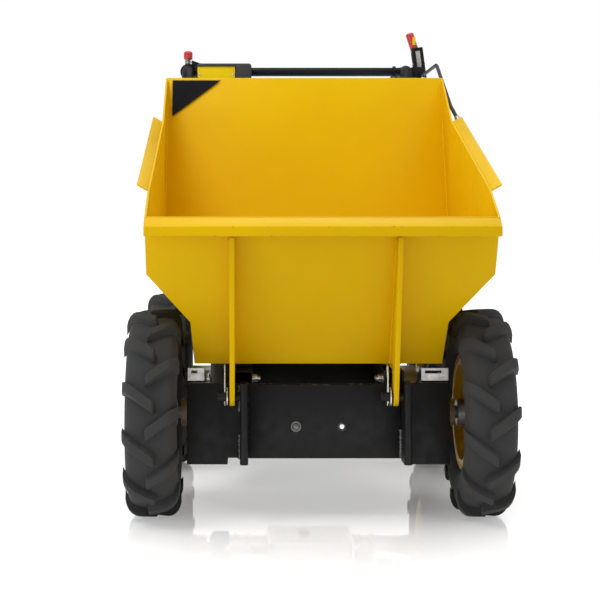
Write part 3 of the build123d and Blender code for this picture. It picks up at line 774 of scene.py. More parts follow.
class Repeater:
    """Geometry Nodes groups that repeat a shape by steps or along a path."""

    SEED = 7
    _made: "Repeater | None" = None

    def __init__(self) -> None:
        """Build the two node groups."""
        self.step_group = self._step_group()
        self.path_group = self._path_group()

    @classmethod
    def shared(cls) -> "Repeater":
        """The one repeater, made on first use."""
        if cls._made is None:
            cls._made = cls()
        return cls._made

    @staticmethod
    def _group(name: str, inputs: Sequence[tuple[str, str]]) -> bpy.types.NodeTree:
        """Start a geometry group with named inputs."""
        tree = bpy.data.node_groups.new(name, "GeometryNodeTree")
        tree.interface.new_socket("Geometry", in_out="INPUT", socket_type="NodeSocketGeometry")
        for label, kind in inputs:
            tree.interface.new_socket(label, in_out="INPUT", socket_type=kind)
        tree.interface.new_socket("Geometry", in_out="OUTPUT", socket_type="NodeSocketGeometry")
        return tree

    def _step_group(self) -> bpy.types.NodeTree:
        """Copies of the input, each one step of turn and move further."""
        inputs = (("Count", "NodeSocketInt"), ("Turn", "NodeSocketVector"), ("Move", "NodeSocketVector"))
        tree = self._group("step_repeat", inputs)
        new, join = tree.nodes.new, tree.links.new
        source = new("NodeGroupInput")
        index = new("GeometryNodeInputIndex")
        points = new("GeometryNodePoints")
        copies = new("GeometryNodeInstanceOnPoints")
        real = new("GeometryNodeRealizeInstances")
        result = new("NodeGroupOutput")
        for label, target in (("Move", points.inputs["Position"]), ("Turn", copies.inputs["Rotation"])):
            scaled = new("ShaderNodeVectorMath")
            scaled.operation = "SCALE"
            join(source.outputs[label], scaled.inputs[0])
            join(index.outputs[0], scaled.inputs["Scale"])
            join(scaled.outputs[0], target)
        join(source.outputs["Count"], points.inputs["Count"])
        join(points.outputs[0], copies.inputs["Points"])
        join(source.outputs["Geometry"], copies.inputs["Instance"])
        join(copies.outputs[0], real.inputs[0])
        join(real.outputs[0], result.inputs[0])
        return tree

    def _path_group(self) -> bpy.types.NodeTree:
        """Copies of another object along the input's edges, turned to the path."""
        inputs = (("Bead", "NodeSocketObject"), ("Spacing", "NodeSocketFloat"), ("Spread", "NodeSocketFloat"))
        tree = self._group("path_repeat", inputs)
        new, join = tree.nodes.new, tree.links.new
        source = new("NodeGroupInput")
        curve = new("GeometryNodeMeshToCurve")
        points = new("GeometryNodeResampleCurve")
        points.mode = "LENGTH"
        tangent = new("GeometryNodeInputTangent")
        aim = new("FunctionNodeAlignRotationToVector")
        aim.axis = "X"
        bead = new("GeometryNodeObjectInfo")
        size = new("FunctionNodeRandomValue")
        size.data_type = "FLOAT"
        size.inputs["Seed"].default_value = self.SEED
        least = new("ShaderNodeMath")
        least.operation = "SUBTRACT"
        least.inputs[0].default_value = 1.0
        most = new("ShaderNodeMath")
        most.operation = "ADD"
        most.inputs[0].default_value = 1.0
        copies = new("GeometryNodeInstanceOnPoints")
        real = new("GeometryNodeRealizeInstances")
        result = new("NodeGroupOutput")
        join(source.outputs["Geometry"], curve.inputs[0])
        join(curve.outputs[0], points.inputs["Curve"])
        join(source.outputs["Spacing"], points.inputs["Length"])
        join(points.outputs[0], copies.inputs["Points"])
        join(source.outputs["Bead"], bead.inputs["Object"])
        join(bead.outputs["Geometry"], copies.inputs["Instance"])
        join(tangent.outputs[0], aim.inputs["Vector"])
        join(aim.outputs[0], copies.inputs["Rotation"])
        join(source.outputs["Spread"], least.inputs[1])
        join(source.outputs["Spread"], most.inputs[1])
        limits = [socket for socket in size.inputs if socket.enabled and socket.name in ("Min", "Max")]
        for limit, socket in zip((least, most), limits):
            join(limit.outputs[0], socket)
        join([socket for socket in size.outputs if socket.enabled][0], copies.inputs["Scale"])
        join(copies.outputs[0], real.inputs[0])
        join(real.outputs[0], result.inputs[0])
        return tree

    @staticmethod
    def _evaluated(start: bpy.types.Mesh, group: bpy.types.NodeTree, values: dict[str, object]) -> Shape:
        """Run a group on a mesh and keep the result as a shape."""
        holder = bpy.data.objects.new("repeat_source", start)
        bpy.context.scene.collection.objects.link(holder)
        modifier = holder.modifiers.new("repeat", "NODES")
        modifier.node_group = group
        for socket in group.interface.items_tree:
            if socket.in_out == "INPUT" and socket.name in values:
                modifier[socket.identifier] = values[socket.name]
        bpy.context.view_layer.update()
        graph = bpy.context.evaluated_depsgraph_get()
        made = bpy.data.meshes.new_from_object(holder.evaluated_get(graph))
        result = Shape()
        result.mesh.from_mesh(made)
        bpy.data.meshes.remove(made)
        bpy.data.objects.remove(holder)
        bpy.data.meshes.remove(start)
        return result

    def steps(self, shape: Shape, count: int, turn: Point, move: Point) -> Shape:
        """Repeat a shape by steps.

        Args:
            shape: The shape to repeat; it is used up.
            count: Number of copies.
            turn: Step of rotation, in radians.
            move: Step of translation.

        Returns:
            The repeated shape.
        """
        start = bpy.data.meshes.new("repeat_mesh")
        shape.mesh.to_mesh(start)
        shape.mesh.free()
        return self._evaluated(start, self.step_group, {"Count": count, "Turn": turn, "Move": move})

    def along(self, paths: Sequence[Sequence[Point]], bead: Shape, spacing: float, spread: float) -> Shape:
        """Repeat a bead along paths.

        Args:
            paths: Lists of points.
            bead: The shape to repeat, with X along the path; it is used up.
            spacing: Distance between copies.
            spread: Random share of size, either way.

        Returns:
            The repeated shape.
        """
        lines = bpy.data.meshes.new("repeat_paths")
        corners = [point for path in paths for point in path]
        edges = []
        first = 0
        for path in paths:
            edges += [(first + step, first + step + 1) for step in range(len(path) - 1)]
            first += len(path)
        lines.from_pydata(corners, edges, [])
        unit = bpy.data.meshes.new("repeat_bead")
        bead.mesh.to_mesh(unit)
        bead.mesh.free()
        holder = bpy.data.objects.new("repeat_bead", unit)
        bpy.context.scene.collection.objects.link(holder)
        result = self._evaluated(lines, self.path_group, {"Bead": holder, "Spacing": spacing, "Spread": spread})
        bpy.data.objects.remove(holder)
        bpy.data.meshes.remove(unit)
        return result


def eased(node: str, width: float, finish: Finish) -> bpy.types.Object:
    """Stand in for a CAD node with a copy whose edges are rounded, so that they catch the light.

    Args:
        node: The CAD node.
        width: Radius of the rounding.
        finish: Finish of the copy.

    Returns:
        The copy.
    """
    source = frame["nodes"][node]
    mesh = bmesh.new()
    mesh.from_mesh(source.data)
    bmesh.ops.remove_doubles(mesh, verts=mesh.verts, dist=MERGE_GAP)
    bmesh.ops.dissolve_limit(mesh, angle_limit=FLAT_ANGLE, verts=mesh.verts, edges=mesh.edges)
    mesh.normal_update()
    inner = [edge for edge in mesh.edges if len(edge.link_faces) == 2]
    edges = [edge for edge in inner if edge.calc_face_angle(0.0) > EASE_SHARP]
    faces = rounded(mesh, edges, width)
    # Mark the rounded faces for edge wear, which on dark finishes is paler and partly a painted highlight.
    wear_and_highlight = mesh.loops.layers.float.new(WEAR_AND_HIGHLIGHT)
    for face in faces:
        for loop in face.loops:
            loop[wear_and_highlight] = 1.0
    bmesh.ops.triangulate(mesh, faces=[face for face in mesh.faces if len(face.verts) > 4])
    made = bpy.data.meshes.new(f"{node}_eased")
    mesh.to_mesh(made)
    mesh.free()
    return present(made, f"{node}_eased", finish, source["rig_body"], 32.0, (node,))


@dataclass(frozen=True)
class Lamp:
    """A soft area lamp."""

    name: str
    place: Point
    aim: Point
    size: float
    watts: float
    tint: Color = (1.0, 1.0, 1.0)

    def build(self) -> None:
        """Hang the lamp."""
        data = bpy.data.lights.new(self.name, "AREA")
        data.shape = "DISK"
        data.size = self.size
        data.energy = self.watts
        data.color = self.tint
        lamp = bpy.data.objects.new(self.name, data)
        lamp.location = self.place
        aim = Vector(self.aim) - Vector(self.place)
        lamp.rotation_euler = aim.to_track_quat("-Z", "Y").to_euler()
        bpy.context.scene.collection.objects.link(lamp)


@dataclass
class Studio:
    """White room: glossy floor, pale world, soft lamps and the camera of the photo."""

    eye: Point = (-0.151, -3.555, 0.604)
    focal_px: float = 1489.0
    axis_px: Flat = (242.0, 215.0)
    floor_reach: float = 14.0
    shadow_reach: Flat = (0.32, 0.72)
    shadow_shape: Point = (1.0, 0.6, 1.0)
    floor_glow: float = 0.18
    floor_mirror: float = 0.36
    world_light: float = 0.44
    world_sheen: float = 0.5
    lamps: list[Lamp] = field(default_factory=lambda: [
        Lamp("key", (-2.0, -1.9, 4.1), (0.0, -0.3, 0.5), 2.4, 74.0),
        Lamp("fill", (2.6, -2.2, 2.8), (0.0, -0.2, 0.4), 2.4, 14.0),
        Lamp("top", (0.2, 0.3, 3.8), (0.0, 0.0, 0.6), 3.0, 44.0),
        Lamp("side", (-2.4, -2.2, 0.9), (0.0, -0.4, 0.3), 1.4, 13.0, (0.86, 0.93, 1.0)),
    ])

    def build(self) -> None:
        """Make the floor, the world, the lamps and the camera."""
        self._floor()
        self._world()
        for lamp in self.lamps:
            lamp.build()
        self._camera()
        bpy.context.scene.view_settings.view_transform = "Standard"
        log.info("studio built")

    def _floor(self) -> None:
        """A pale floor that keeps a soft shadow and mirror image."""
        shape = Shape()
        reach = self.floor_reach
        shape.box((-reach, -reach, -0.05), (reach, reach, 0.0))
        made = bpy.data.meshes.new("floor")
        shape.mesh.to_mesh(made)
        shape.mesh.free()
        floor = bpy.data.objects.new("floor", made)
        bpy.context.scene.collection.objects.link(floor)
        graph = Graph("floor_white")
        graph.set(Base_Color=(0.9, 0.9, 0.9, 1.0), Roughness=0.6, Specular_IOR_Level=0.0)
        seen = graph.add("ShaderNodeLightPath")
        either = graph.add("ShaderNodeMath", operation="MAXIMUM")
        graph.link(seen.outputs["Is Camera Ray"], either.inputs[0])
        graph.link(seen.outputs["Is Glossy Ray"], either.inputs[1])
        narrowed = graph.add("ShaderNodeVectorMath", operation="MULTIPLY")
        narrowed.inputs[1].default_value = self.shadow_shape
        graph.link(graph.place, narrowed.inputs[0])
        away = graph.add("ShaderNodeVectorMath", operation="LENGTH")
        graph.link(narrowed.outputs[0], away.inputs[0])
        share = graph.span(away.outputs["Value"], *self.shadow_reach, self.floor_glow, 1.0)
        glow = graph.add("ShaderNodeEmission")
        glow.inputs["Color"].default_value = (1.0, 1.0, 1.0, 1.0)
        graph.link(graph.times(share, either.outputs[0]), glow.inputs["Strength"])
        pale = graph.add("ShaderNodeAddShader")
        graph.link(graph.shader.outputs[0], pale.inputs[0])
        graph.link(glow.outputs[0], pale.inputs[1])
        mirror = graph.add("ShaderNodeBsdfGlossy")
        mirror.inputs["Color"].default_value = (*(3 * [0.95 / self.world_sheen]), 1.0)
        mirror.inputs["Roughness"].default_value = 0.04
        mixed = graph.add("ShaderNodeMixShader")
        mirrored = graph.span(seen.outputs["Is Camera Ray"], 0.0, 1.0, 0.0, self.floor_mirror)
        graph.link(mirrored, mixed.inputs[0])
        graph.link(pale.outputs[0], mixed.inputs[1])
        graph.link(mirror.outputs[0], mixed.inputs[2])
        graph.link(mixed.outputs[0], graph.tree.nodes["Material Output"].inputs["Surface"])
        made.materials.append(graph.material)

    def _world(self) -> None:
        """White to the eye and in reflections, softer as a light."""
        world = bpy.data.worlds.new("studio_world")
        bpy.context.scene.world = world
        world.use_nodes = True
        tree = world.node_tree
        tree.nodes.clear()
        seen = tree.nodes.new("ShaderNodeLightPath")
        level: Socket | None = None
        for ray, strength in (("Is Glossy Ray", self.world_sheen), ("Is Camera Ray", 1.0)):
            step = tree.nodes.new("ShaderNodeMix")
            step.inputs["A"].default_value = self.world_light
            step.inputs["B"].default_value = strength
            tree.links.new(seen.outputs[ray], step.inputs["Factor"])
            if level:
                tree.links.new(level, step.inputs["A"])
            level = step.outputs["Result"]
        light = tree.nodes.new("ShaderNodeBackground")
        light.inputs["Color"].default_value = (1.0, 1.0, 1.0, 1.0)
        tree.links.new(level, light.inputs["Strength"])
        result = tree.nodes.new("ShaderNodeOutputWorld")
        tree.links.new(light.outputs[0], result.inputs["Surface"])

    def _camera(self) -> None:
        """The photo's view: along +Y, with the picture shifted off the axis."""
        data = bpy.data.cameras.new("photo_camera")
        data.sensor_width = SENSOR
        data.lens = self.focal_px * SENSOR / IMAGE_SIDE
        half = IMAGE_SIDE / 2
        data.shift_x = (half - self.axis_px[0]) / IMAGE_SIDE
        data.shift_y = (self.axis_px[1] - half) / IMAGE_SIDE
        camera = bpy.data.objects.new("photo_camera", data)
        camera.location = self.eye
        camera.rotation_euler = (math.pi / 2, 0.0, 0.0)
        bpy.context.scene.collection.objects.link(camera)
        bpy.context.scene.camera = camera


# Finish and edge radius of each CAD node that is shown with rounded edges.
EASES: dict[str, tuple[Finish, float]] = {
    node: (finish, radius)
    for finish, rows in (
        (Coat.YELLOW, (
            (0.0012, ("skip_floor",)),
            (0.0016, ("skip_front", "skip_back", "skip_side_left", "skip_side_right", "skip_rims")),
            (0.0018, ("skip_ribs",)),
            (0.002, ("skip_runners",)),
            (0.0025, ("skip_lip",)),
        )),
        (Coat.BLACK, (
            (0.0008, ("handle_cross_bar",)),
            (0.001, ("handle_left", "handle_right", "drive_lever")),
            (0.0012, ("engine_deck",)),
            (0.0015, ("hinge_brackets", "front_cover")),
            (0.002, ("frame_cross_members", "front_box")),
            (0.003, ("frame_rails",)),
        )),
        (Coat.GLOSS_BLACK, ((0.003, ("starter_cowl", "fuel_tank")),)),
        (Coat.GRIP, ((0.002, ("skip_rests",)), (0.003, ("grips",)))),
        (Coat.CAST, ((0.0012, ("engine_block",)), (0.002, ("front_axle", "rear_axle")), (0.003, ("gearbox",)))),
        (Coat.STEEL, ((0.0006, ("throttle_lever",)), (0.0008, ("drive_shafts",)), (0.001, ("steer_levers",)))),
        (Coat.PLASTIC, ((0.0004, ("drive_cable",)), (0.003, ("console",)), (0.004, ("belt_cover", "air_filter")))),
        (Coat.RED, ((0.002, ("throttle_knob",)), (0.003, ("drive_lever_grip",)))),
        (Coat.HOT, ((0.003, ("muffler",)),)),
    )
    for radius, nodes in rows
    for node in nodes
}


def out_of(point: Point, way: Point) -> Matrix:
    """A placement at a point whose local Z runs along a direction.

    Args:
        point: Origin.
        way: Direction of local Z.

    Returns:
        The placement.
    """
    turn = Vector(way).to_track_quat("Z", "Y").to_matrix().to_4x4()
    return Matrix.Translation(Vector(point)) @ turn


def lathe(profile: Sequence[Flat], foot: Point, way: Point, steps: int = 24) -> Shape:
    """A turned solid that stands on a point.

    Args:
        profile: (radius, height) points, as for Shape.turned.
        foot: The point.
        way: Direction of its axis.
        steps: Facets round the axis.

    Returns:
        The solid.
    """
    return Shape().turned(profile, out_of(foot, way), steps)


def weld(paths: Sequence[Sequence[Point]], bead: Sequence[Flat], pitch: float, spread: float) -> Shape:
    """A rippled weld along paths.

    Args:
        paths: Lists of points.
        bead: (radius, length) profile of one ripple.
        pitch: Distance between ripples.
        spread: Random share of their size, either way.

    Returns:
        The weld.
    """
    return Repeater.shared().along(paths, lathe(bead, ORIGIN, RIGHT, 10), pitch, spread)


def band(bore: float, outer: float, low: float, high: float, ease: Flat) -> list[Flat]:
    """The section of a collar or washer with eased outer corners.

    Args:
        bore: Inner radius.
        outer: Outer radius.
        low: Start along the axis.
        high: End along the axis.
        ease: Easing of the corners, across and along.

    Returns:
        (radius, height) points, as for Shape.ring.
    """
    across, along = ease
    edge = outer - across
    return [(bore, low), (edge, low), (outer, low + along), (outer, high - along), (edge, high), (bore, high)]


def bent(points: Sequence[Point], radius: float, steps: int = 6) -> list[Point]:
    """A path with its corners rounded.

    Args:
        points: Corners of the path.
        radius: Bend radius, cut down where a leg is short.
        steps: Segments in each bend.

    Returns:
        Points along the rounded path.
    """
    longest = 0.45
    line = [Vector(point) for point in points]
    made = [line[0]]
    for before, corner, after in zip(line, line[1:], line[2:]):
        back = before - corner
        ahead = after - corner
        trim = min(radius / math.tan(back.angle(ahead) / 2), longest * back.length, longest * ahead.length)
        first = corner + back.normalized() * trim
        last = corner + ahead.normalized() * trim
        for step in range(steps + 1):
            share = step / steps
            made.append(first.lerp(corner, share).lerp(corner.lerp(last, share), share))
    made.append(line[-1])
    return [tuple(point) for point in made]


@dataclass(frozen=True)
class HexBolt:
    """A size of hexagon bolt on its washer."""

    across: float
    height: float
    stud: float = 0.0

    def at(self, feet: Sequence[Point], way: Point) -> Shape:
        """Bolts of this size.

        Args:
            feet: Points under the heads.
            way: Direction of the heads.

        Returns:
            All of them in one shape.
        """
        shape = Shape()
        for foot in feet:
            shape.bolt(self.across, self.height, out_of(foot, way), stud=self.stud)
        return shape


@dataclass
class Wheel:
    """One wheel: a round lugged tyre, its painted rim and its hub, with nuts and a valve."""

    name: str
    tip_r: float = 0.2073
    carcass_r: float = 0.1912
    clean_top: float = 0.004
    half_w: float = 0.054
    lap: float = 0.005
    rise: float = 0.044
    lug_half: float = 0.0112
    lug_neck: float = 0.86
    lug_ease: float = 0.0018
    lug_least: float = 0.002
    flank_draft: float = 0.0008
    crown: float = 0.0001
    foot_half: float = 0.0148
    lug_count: int = 12
    lug_start: float = math.radians(16.43)
    root_r: float = 0.1862
    root_taper: Point = (0.2435, 1.55, 0.036)
    bead_half: float = 0.0331
    bead_r: float = 0.102
    disc_out: float = 0.003
    nut: HexBolt = HexBolt(0.015, 0.008, 0.005)
    nut_ring: float = 0.034
    nut_count: int = 5
    valve_at: Flat = (0.004, 0.0915)
    valve_lean: float = -0.18

    # (radius, half width) points from the bead to the middle of the tread.
    SIDEWALL = (
        (0.1152, 0.0331), (0.1166, 0.0362), (0.1185, 0.0386), (0.1222, 0.0414), (0.1262, 0.0434), (0.1270, 0.0444),
        (0.1284, 0.0447), (0.1296, 0.0444), (0.1306, 0.0452), (0.1380, 0.0474), (0.1460, 0.0490), (0.1475, 0.0499),
        (0.1500, 0.0502), (0.1512, 0.0497), (0.1580, 0.0499), (0.1660, 0.0493), (0.1740, 0.0474), (0.1805, 0.0446),
        (0.1852, 0.0408), (0.1880, 0.0360), (0.1898, 0.0270), (0.1906, 0.0140), (0.1908, 0.0),
    )
    # (share of the lug's length, drop of its tip) from the middle of the tread to the shoulder.
    LUG = (
        (-0.07, 0.013), (-0.045, 0.003), (0.0, 0.0), (0.2, 0.0), (0.4, 0.0), (0.56, 0.0002), (0.68, 0.0016),
        (0.8, 0.0055), (0.9, 0.0118), (0.965, 0.0195), (1.0, 0.0285),
    )
    VALVE = (
        (0.0048, -0.004), (0.0044, 0.012), (0.0029, 0.013), (0.0029, 0.03), (0.0034, 0.031), (0.0034, 0.04),
        (0.0, 0.041),
    )

    @property
    def body(self) -> str:
        """The body that turns."""
        return Body.wheel(self.name)

    @property
    def side(self) -> int:
        """-1 on the left, 1 on the right."""
        return -1 if self.name.endswith("left") else 1

    @property
    def centre(self) -> Vector:
        """The wheel's centre, from its rim."""
        low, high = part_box(f"rim_{self.name}")
        return (low + high) / 2

    def build(self) -> None:
        """Make the tyre, the rim and the hub."""
        self.tyre()
        eased(f"rim_{self.name}", 0.0016, Coat.WHEEL)
        eased(f"hub_{self.name}", 0.001, Coat.WELD)
        self.fasteners()

    def tyre(self) -> None:
        """A round carcass with chevron lugs, in place of the faceted tyre."""
        axle = Matrix.Translation(self.centre) @ Matrix.Rotation(math.pi / 2, 4, "Y")
        other = [(radius, -across) for radius, across in reversed(self.SIDEWALL[:-1])]
        profile = [(self.bead_r, self.bead_half), *self.SIDEWALL, *other, (self.bead_r, -self.bead_half)]
        shape = Shape().ring(profile, axle)
        for hand, start in ((-1, self.lug_start), (1, self.lug_start + math.pi / self.lug_count)):
            shape.join(self._lug(hand, start).circled(self.lug_count, self.centre))
        self._dust_lugs(shape)
        shape.show(f"tyre_{self.name}_round", Coat.TYRE, self.body, 38.0, (f"tyre_{self.name}",))

    def _dust_lugs(self, shape: Shape) -> None:
        """Mark the lugs' outer faces as dusty, so that they are paler than the carcass."""
        wear_and_highlight = shape.mesh.loops.layers.float.new(WEAR_AND_HIGHLIGHT)
        centre = self.centre
        rise = self.tip_r - self.carcass_r - self.clean_top
        for face in shape.mesh.faces:
            for loop in face.loops:
                radius = math.hypot(loop.vert.co.y - centre.y, loop.vert.co.z - centre.z)
                loop[wear_and_highlight] = min(1.0, max(0.0, (radius - self.carcass_r) / rise))

    def _lug(self, hand: int, start: float) -> Shape:
        """One lug about the X axis, with drafted flanks, eased tips and a rounded shoulder.

        Args:
            hand: -1 or 1, the side of the tread that it is on.
            start: Its angle from straight down.

        Returns:
            The lug.
        """
        reach, fall, flat = self.root_taper
        ease = self.lug_ease
        sections = []
        for share, drop in self.LUG:
            across = share * (self.half_w + self.lap) - self.lap
            middle = self.rise * (share - 0.5)
            tip = self.tip_r - drop
            root = min(self.root_r, reach - fall * max(across, flat), tip - self.lug_least)
            width = self.lug_half * (1.0 if share >= 0.0 else self.lug_neck)
            waist = (width + self.flank_draft, (root + tip) / 2)
            flank = [(self.foot_half, root), waist, (width, tip - ease), (width - ease, tip)]
            outline = [(-along, radius) for along, radius in flank] + [(0.0, tip + self.crown)] + flank[::-1]
            section = []
            for along, radius in outline:
                angle = start + (middle + along) / self.tip_r
                section.append((hand * across, -radius * math.sin(angle), -radius * math.cos(angle)))
            sections.append(section)
        return Shape().strip(sections)

    def fasteners(self) -> None:
        """Wheel nuts on the disc and a valve by the rim."""
        nut = self.nut.at([(self.side * self.disc_out, self.nut_ring, 0.0)], (self.side, 0, 0))
        nut.circled(self.nut_count, self.centre).show(f"wheel_nuts_{self.name}", Coat.ZINC, self.body)
        foot = self.centre + Vector((self.side * self.valve_at[0], 0.0, self.valve_at[1]))
        stem = lathe(self.VALVE, foot, (self.side, 0, self.valve_lean), 16)
        stem.show(f"valve_{self.name}", Coat.PLASTIC, self.body)


@dataclass
class Skip:
    """The folded sheet skip: weld beads and a plain black corner patch."""

    wall_x: float = 0.3305
    wall_run: tuple[Flat, ...] = ((-0.1122, 0.497), (-0.060, 0.629), (0.0148, 0.8185), (0.0418, 0.926))
    rib_half: float = 0.0058
    rib_z: Flat = (0.312, 0.558)
    front_y: float = -0.756
    front_z: float = 0.6
    front_slope: float = 146 / 290
    sunk: float = 0.0006
    pitch: float = 0.0026
    spread: float = 0.16
    patch: tuple[Point, ...] = ((-0.3185, 0.0402, 0.929), (-0.2025, 0.0402, 0.929), (-0.3185, 0.0180, 0.841))
    patch_span: Flat = (0.0001, 0.0006)

    BEAD = ((0.0012, -0.0016), (0.0024, -0.0006), (0.0027, 0.0004), (0.0022, 0.0017), (0.0, 0.0025))

    def build(self) -> None:
        """Make every piece."""
        self.welds()
        self.corner_patch()

    def face_y(self, height: float) -> float:
        """Place of the front panel's outer face at a height."""
        return self.front_y + (self.front_z - height) * self.front_slope

    def welds(self) -> None:
        """Rippled beads along the inner back corners and beside the ribs."""
        paths = [[(side * self.wall_x, y, z) for y, z in self.wall_run] for side in SIDES]
        for ear, side in product(EARS, SIDES):
            paths.append([(ear + side * self.rib_half, self.face_y(z) - self.sunk, z) for z in self.rib_z])
        made = weld(paths, self.BEAD, self.pitch, self.spread)
        made.show("skip_weld_beads", Coat.YELLOW, Body.SKIP.value, 60.0)

    def corner_patch(self) -> None:
        """A thin plain black triangle on the inside of the back panel."""
        corners = [Vector(point) for point in self.patch]
        out = (corners[1] - corners[0]).cross(corners[2] - corners[0]).normalized()
        if out.y > 0.0:
            out = -out
        layers = [[corner + out * height for corner in corners] for height in self.patch_span]
        Shape().strip(layers).show("corner_patch", Coat.PATCH, Body.SKIP.value)


@dataclass
class FrontEnd:
    """Front box and hinge: spring clips, cover bolts, weld beads and the end brackets."""

    brackets: Flat = (-0.147, 0.171)
    pin: Flat = (-0.655, 0.25)
    clip_out: float = 0.0145
    clip_bend: float = 0.006
    wire_r: float = 0.0016
    washer_out: float = 0.0085
    box_y: float = -0.614
    cover_y: float = -0.620
    cover_z: float = 0.187
    cover_x: Flat = (-0.0446, 0.046)
    dome: Point = (0.0078, 0.0054, 0.0012)
    rail_bolt: HexBolt = HexBolt(0.013, 0.008, 0.006)
    rail_bolt_y: Flat = (-0.592, -0.575)
    weld_out: float = 0.0086
    sunk: float = 0.0006
    pitch: float = 0.0036
    spread: float = 0.22
    end_stud: HexBolt = HexBolt(0.012, 0.007, 0.009)

    # (Y, Z) offsets of the clip's wire from the pin.
    CLIP = (
        (0.0, -0.013), (0.0, 0.047), (0.003, 0.06), (0.013, 0.062), (0.019, 0.053), (0.013, 0.042),
        (0.0055, 0.032), (0.0122, 0.01), (0.0122, -0.004), (0.008, -0.0125), (0.012, -0.018),
    )
    WASHER = band(0.0094, 0.0185, 0.0, 0.0026, (0.0005, 0.0006))
    DOME_WASHER = ((0.0105, -0.001), (0.0105, 0.0012), (0.0098, 0.0018), (0.0, 0.0018))
    HOLE_RING = (
        (0.0048, -0.001), (0.009, -0.001), (0.009, 0.0014), (0.008, 0.0022), (0.0058, 0.0022), (0.0048, 0.0014),
    )
    PLUG = ((0.0047, -0.001), (0.0047, 0.0006), (0.0, 0.0008))
    BEAD = ((0.0018, -0.0024), (0.0038, -0.001), (0.0043, 0.0004), (0.0034, 0.0022), (0.0, 0.0032))

    def build(self) -> None:
        """Make every piece."""
        self.spring_clips()
        self.cover_bolts()
        self.bracket_welds()
        self.end_brackets()

    def spring_clips(self) -> None:
        """A bent wire clip through the tail of each hinge pin, over a washer."""
        wires, washers = Shape(), Shape()
        pin_y, pin_z = self.pin
        for ear in EARS:
            leg = [(ear - self.clip_out, pin_y + y, pin_z + z) for y, z in self.CLIP]
            wires.tube(bent(leg, self.clip_bend, 4), self.wire_r, 10)
            washers.ring(self.WASHER, out_of((ear - self.washer_out, pin_y, pin_z), LEFT), 32)
        wires.show("hinge_spring_clips", Coat.ZINC, smooth=60.0)
        washers.show("hinge_washers", Coat.ZINC)

    def cover_bolts(self) -> None:
        """A dome bolt and a plugged hole on the cover, and hexagon bolts on the rails' front ends."""
        bolt_at, hole_at = (out_of((x, self.cover_y, self.cover_z), FORE) for x in self.cover_x)
        radius, height, foot = self.dome
        dome = Shape().turned(self.DOME_WASHER, bolt_at, 24)
        dome.dome(radius, height, bolt_at @ Matrix.Translation((0, 0, foot)))
        dome.show("cover_dome_bolt", Coat.WELD)
        Shape().ring(self.HOLE_RING, hole_at, 28).show("cover_hole_ring", Coat.GLOSS_BLACK)
        Shape().turned(self.PLUG, hole_at, 20).show("cover_plug", Coat.ZINC)
        bolts = Shape()
        for side in SIDES:
            bolts.join(self.rail_bolt.at([(side * 0.13, y, 0.279) for y in self.rail_bolt_y], (-side, 0, 0)))
        bolts.show("rail_front_bolts", Coat.ZINC)

    def bracket_welds(self) -> None:
        """Bead runs where the brackets meet the box and its cover."""
        left, right = self.brackets
        runs = [[(x, y - self.sunk, z) for z in ends] for x, y, ends in (
            (left - self.weld_out, self.box_y, (0.124, 0.169)),
            (right - self.weld_out, self.cover_y, (0.128, 0.179)),
            (left - self.weld_out, self.box_y, (0.218, 0.266)),
            (right + self.weld_out, self.box_y, (0.124, 0.266)),
        )]
        weld(runs, self.BEAD, self.pitch, self.spread).show("bracket_weld_beads", Coat.WELD, smooth=60.0)

    def end_brackets(self) -> None:
        """Slotted plated brackets that stand on the ends of the front box."""
        plates = Shape()
        for side, inner in zip(SIDES, (0.226, 0.205)):
            low, high = sorted((side * inner, side * 0.2585))
            left, right = low + 0.007, high - 0.0135
            for x0, x1, z0, z1 in (
                (low, left, 0.272, 0.3), (right, high, 0.272, 0.3),
                (left, right, 0.272, 0.2895), (left, right, 0.2955, 0.3),
            ):
                plates.box((x0, -0.6, z0), (x1, -0.597, z1))
            plates.box((low, -0.6, 0.2722), (high, -0.566, 0.2752))
        plates.show("box_end_brackets", Coat.STEEL)
        self.end_stud.at([(x, -0.582, 0.2722) for x in (-0.2185, 0.2425)], UP).show("box_end_studs", Coat.ZINC)


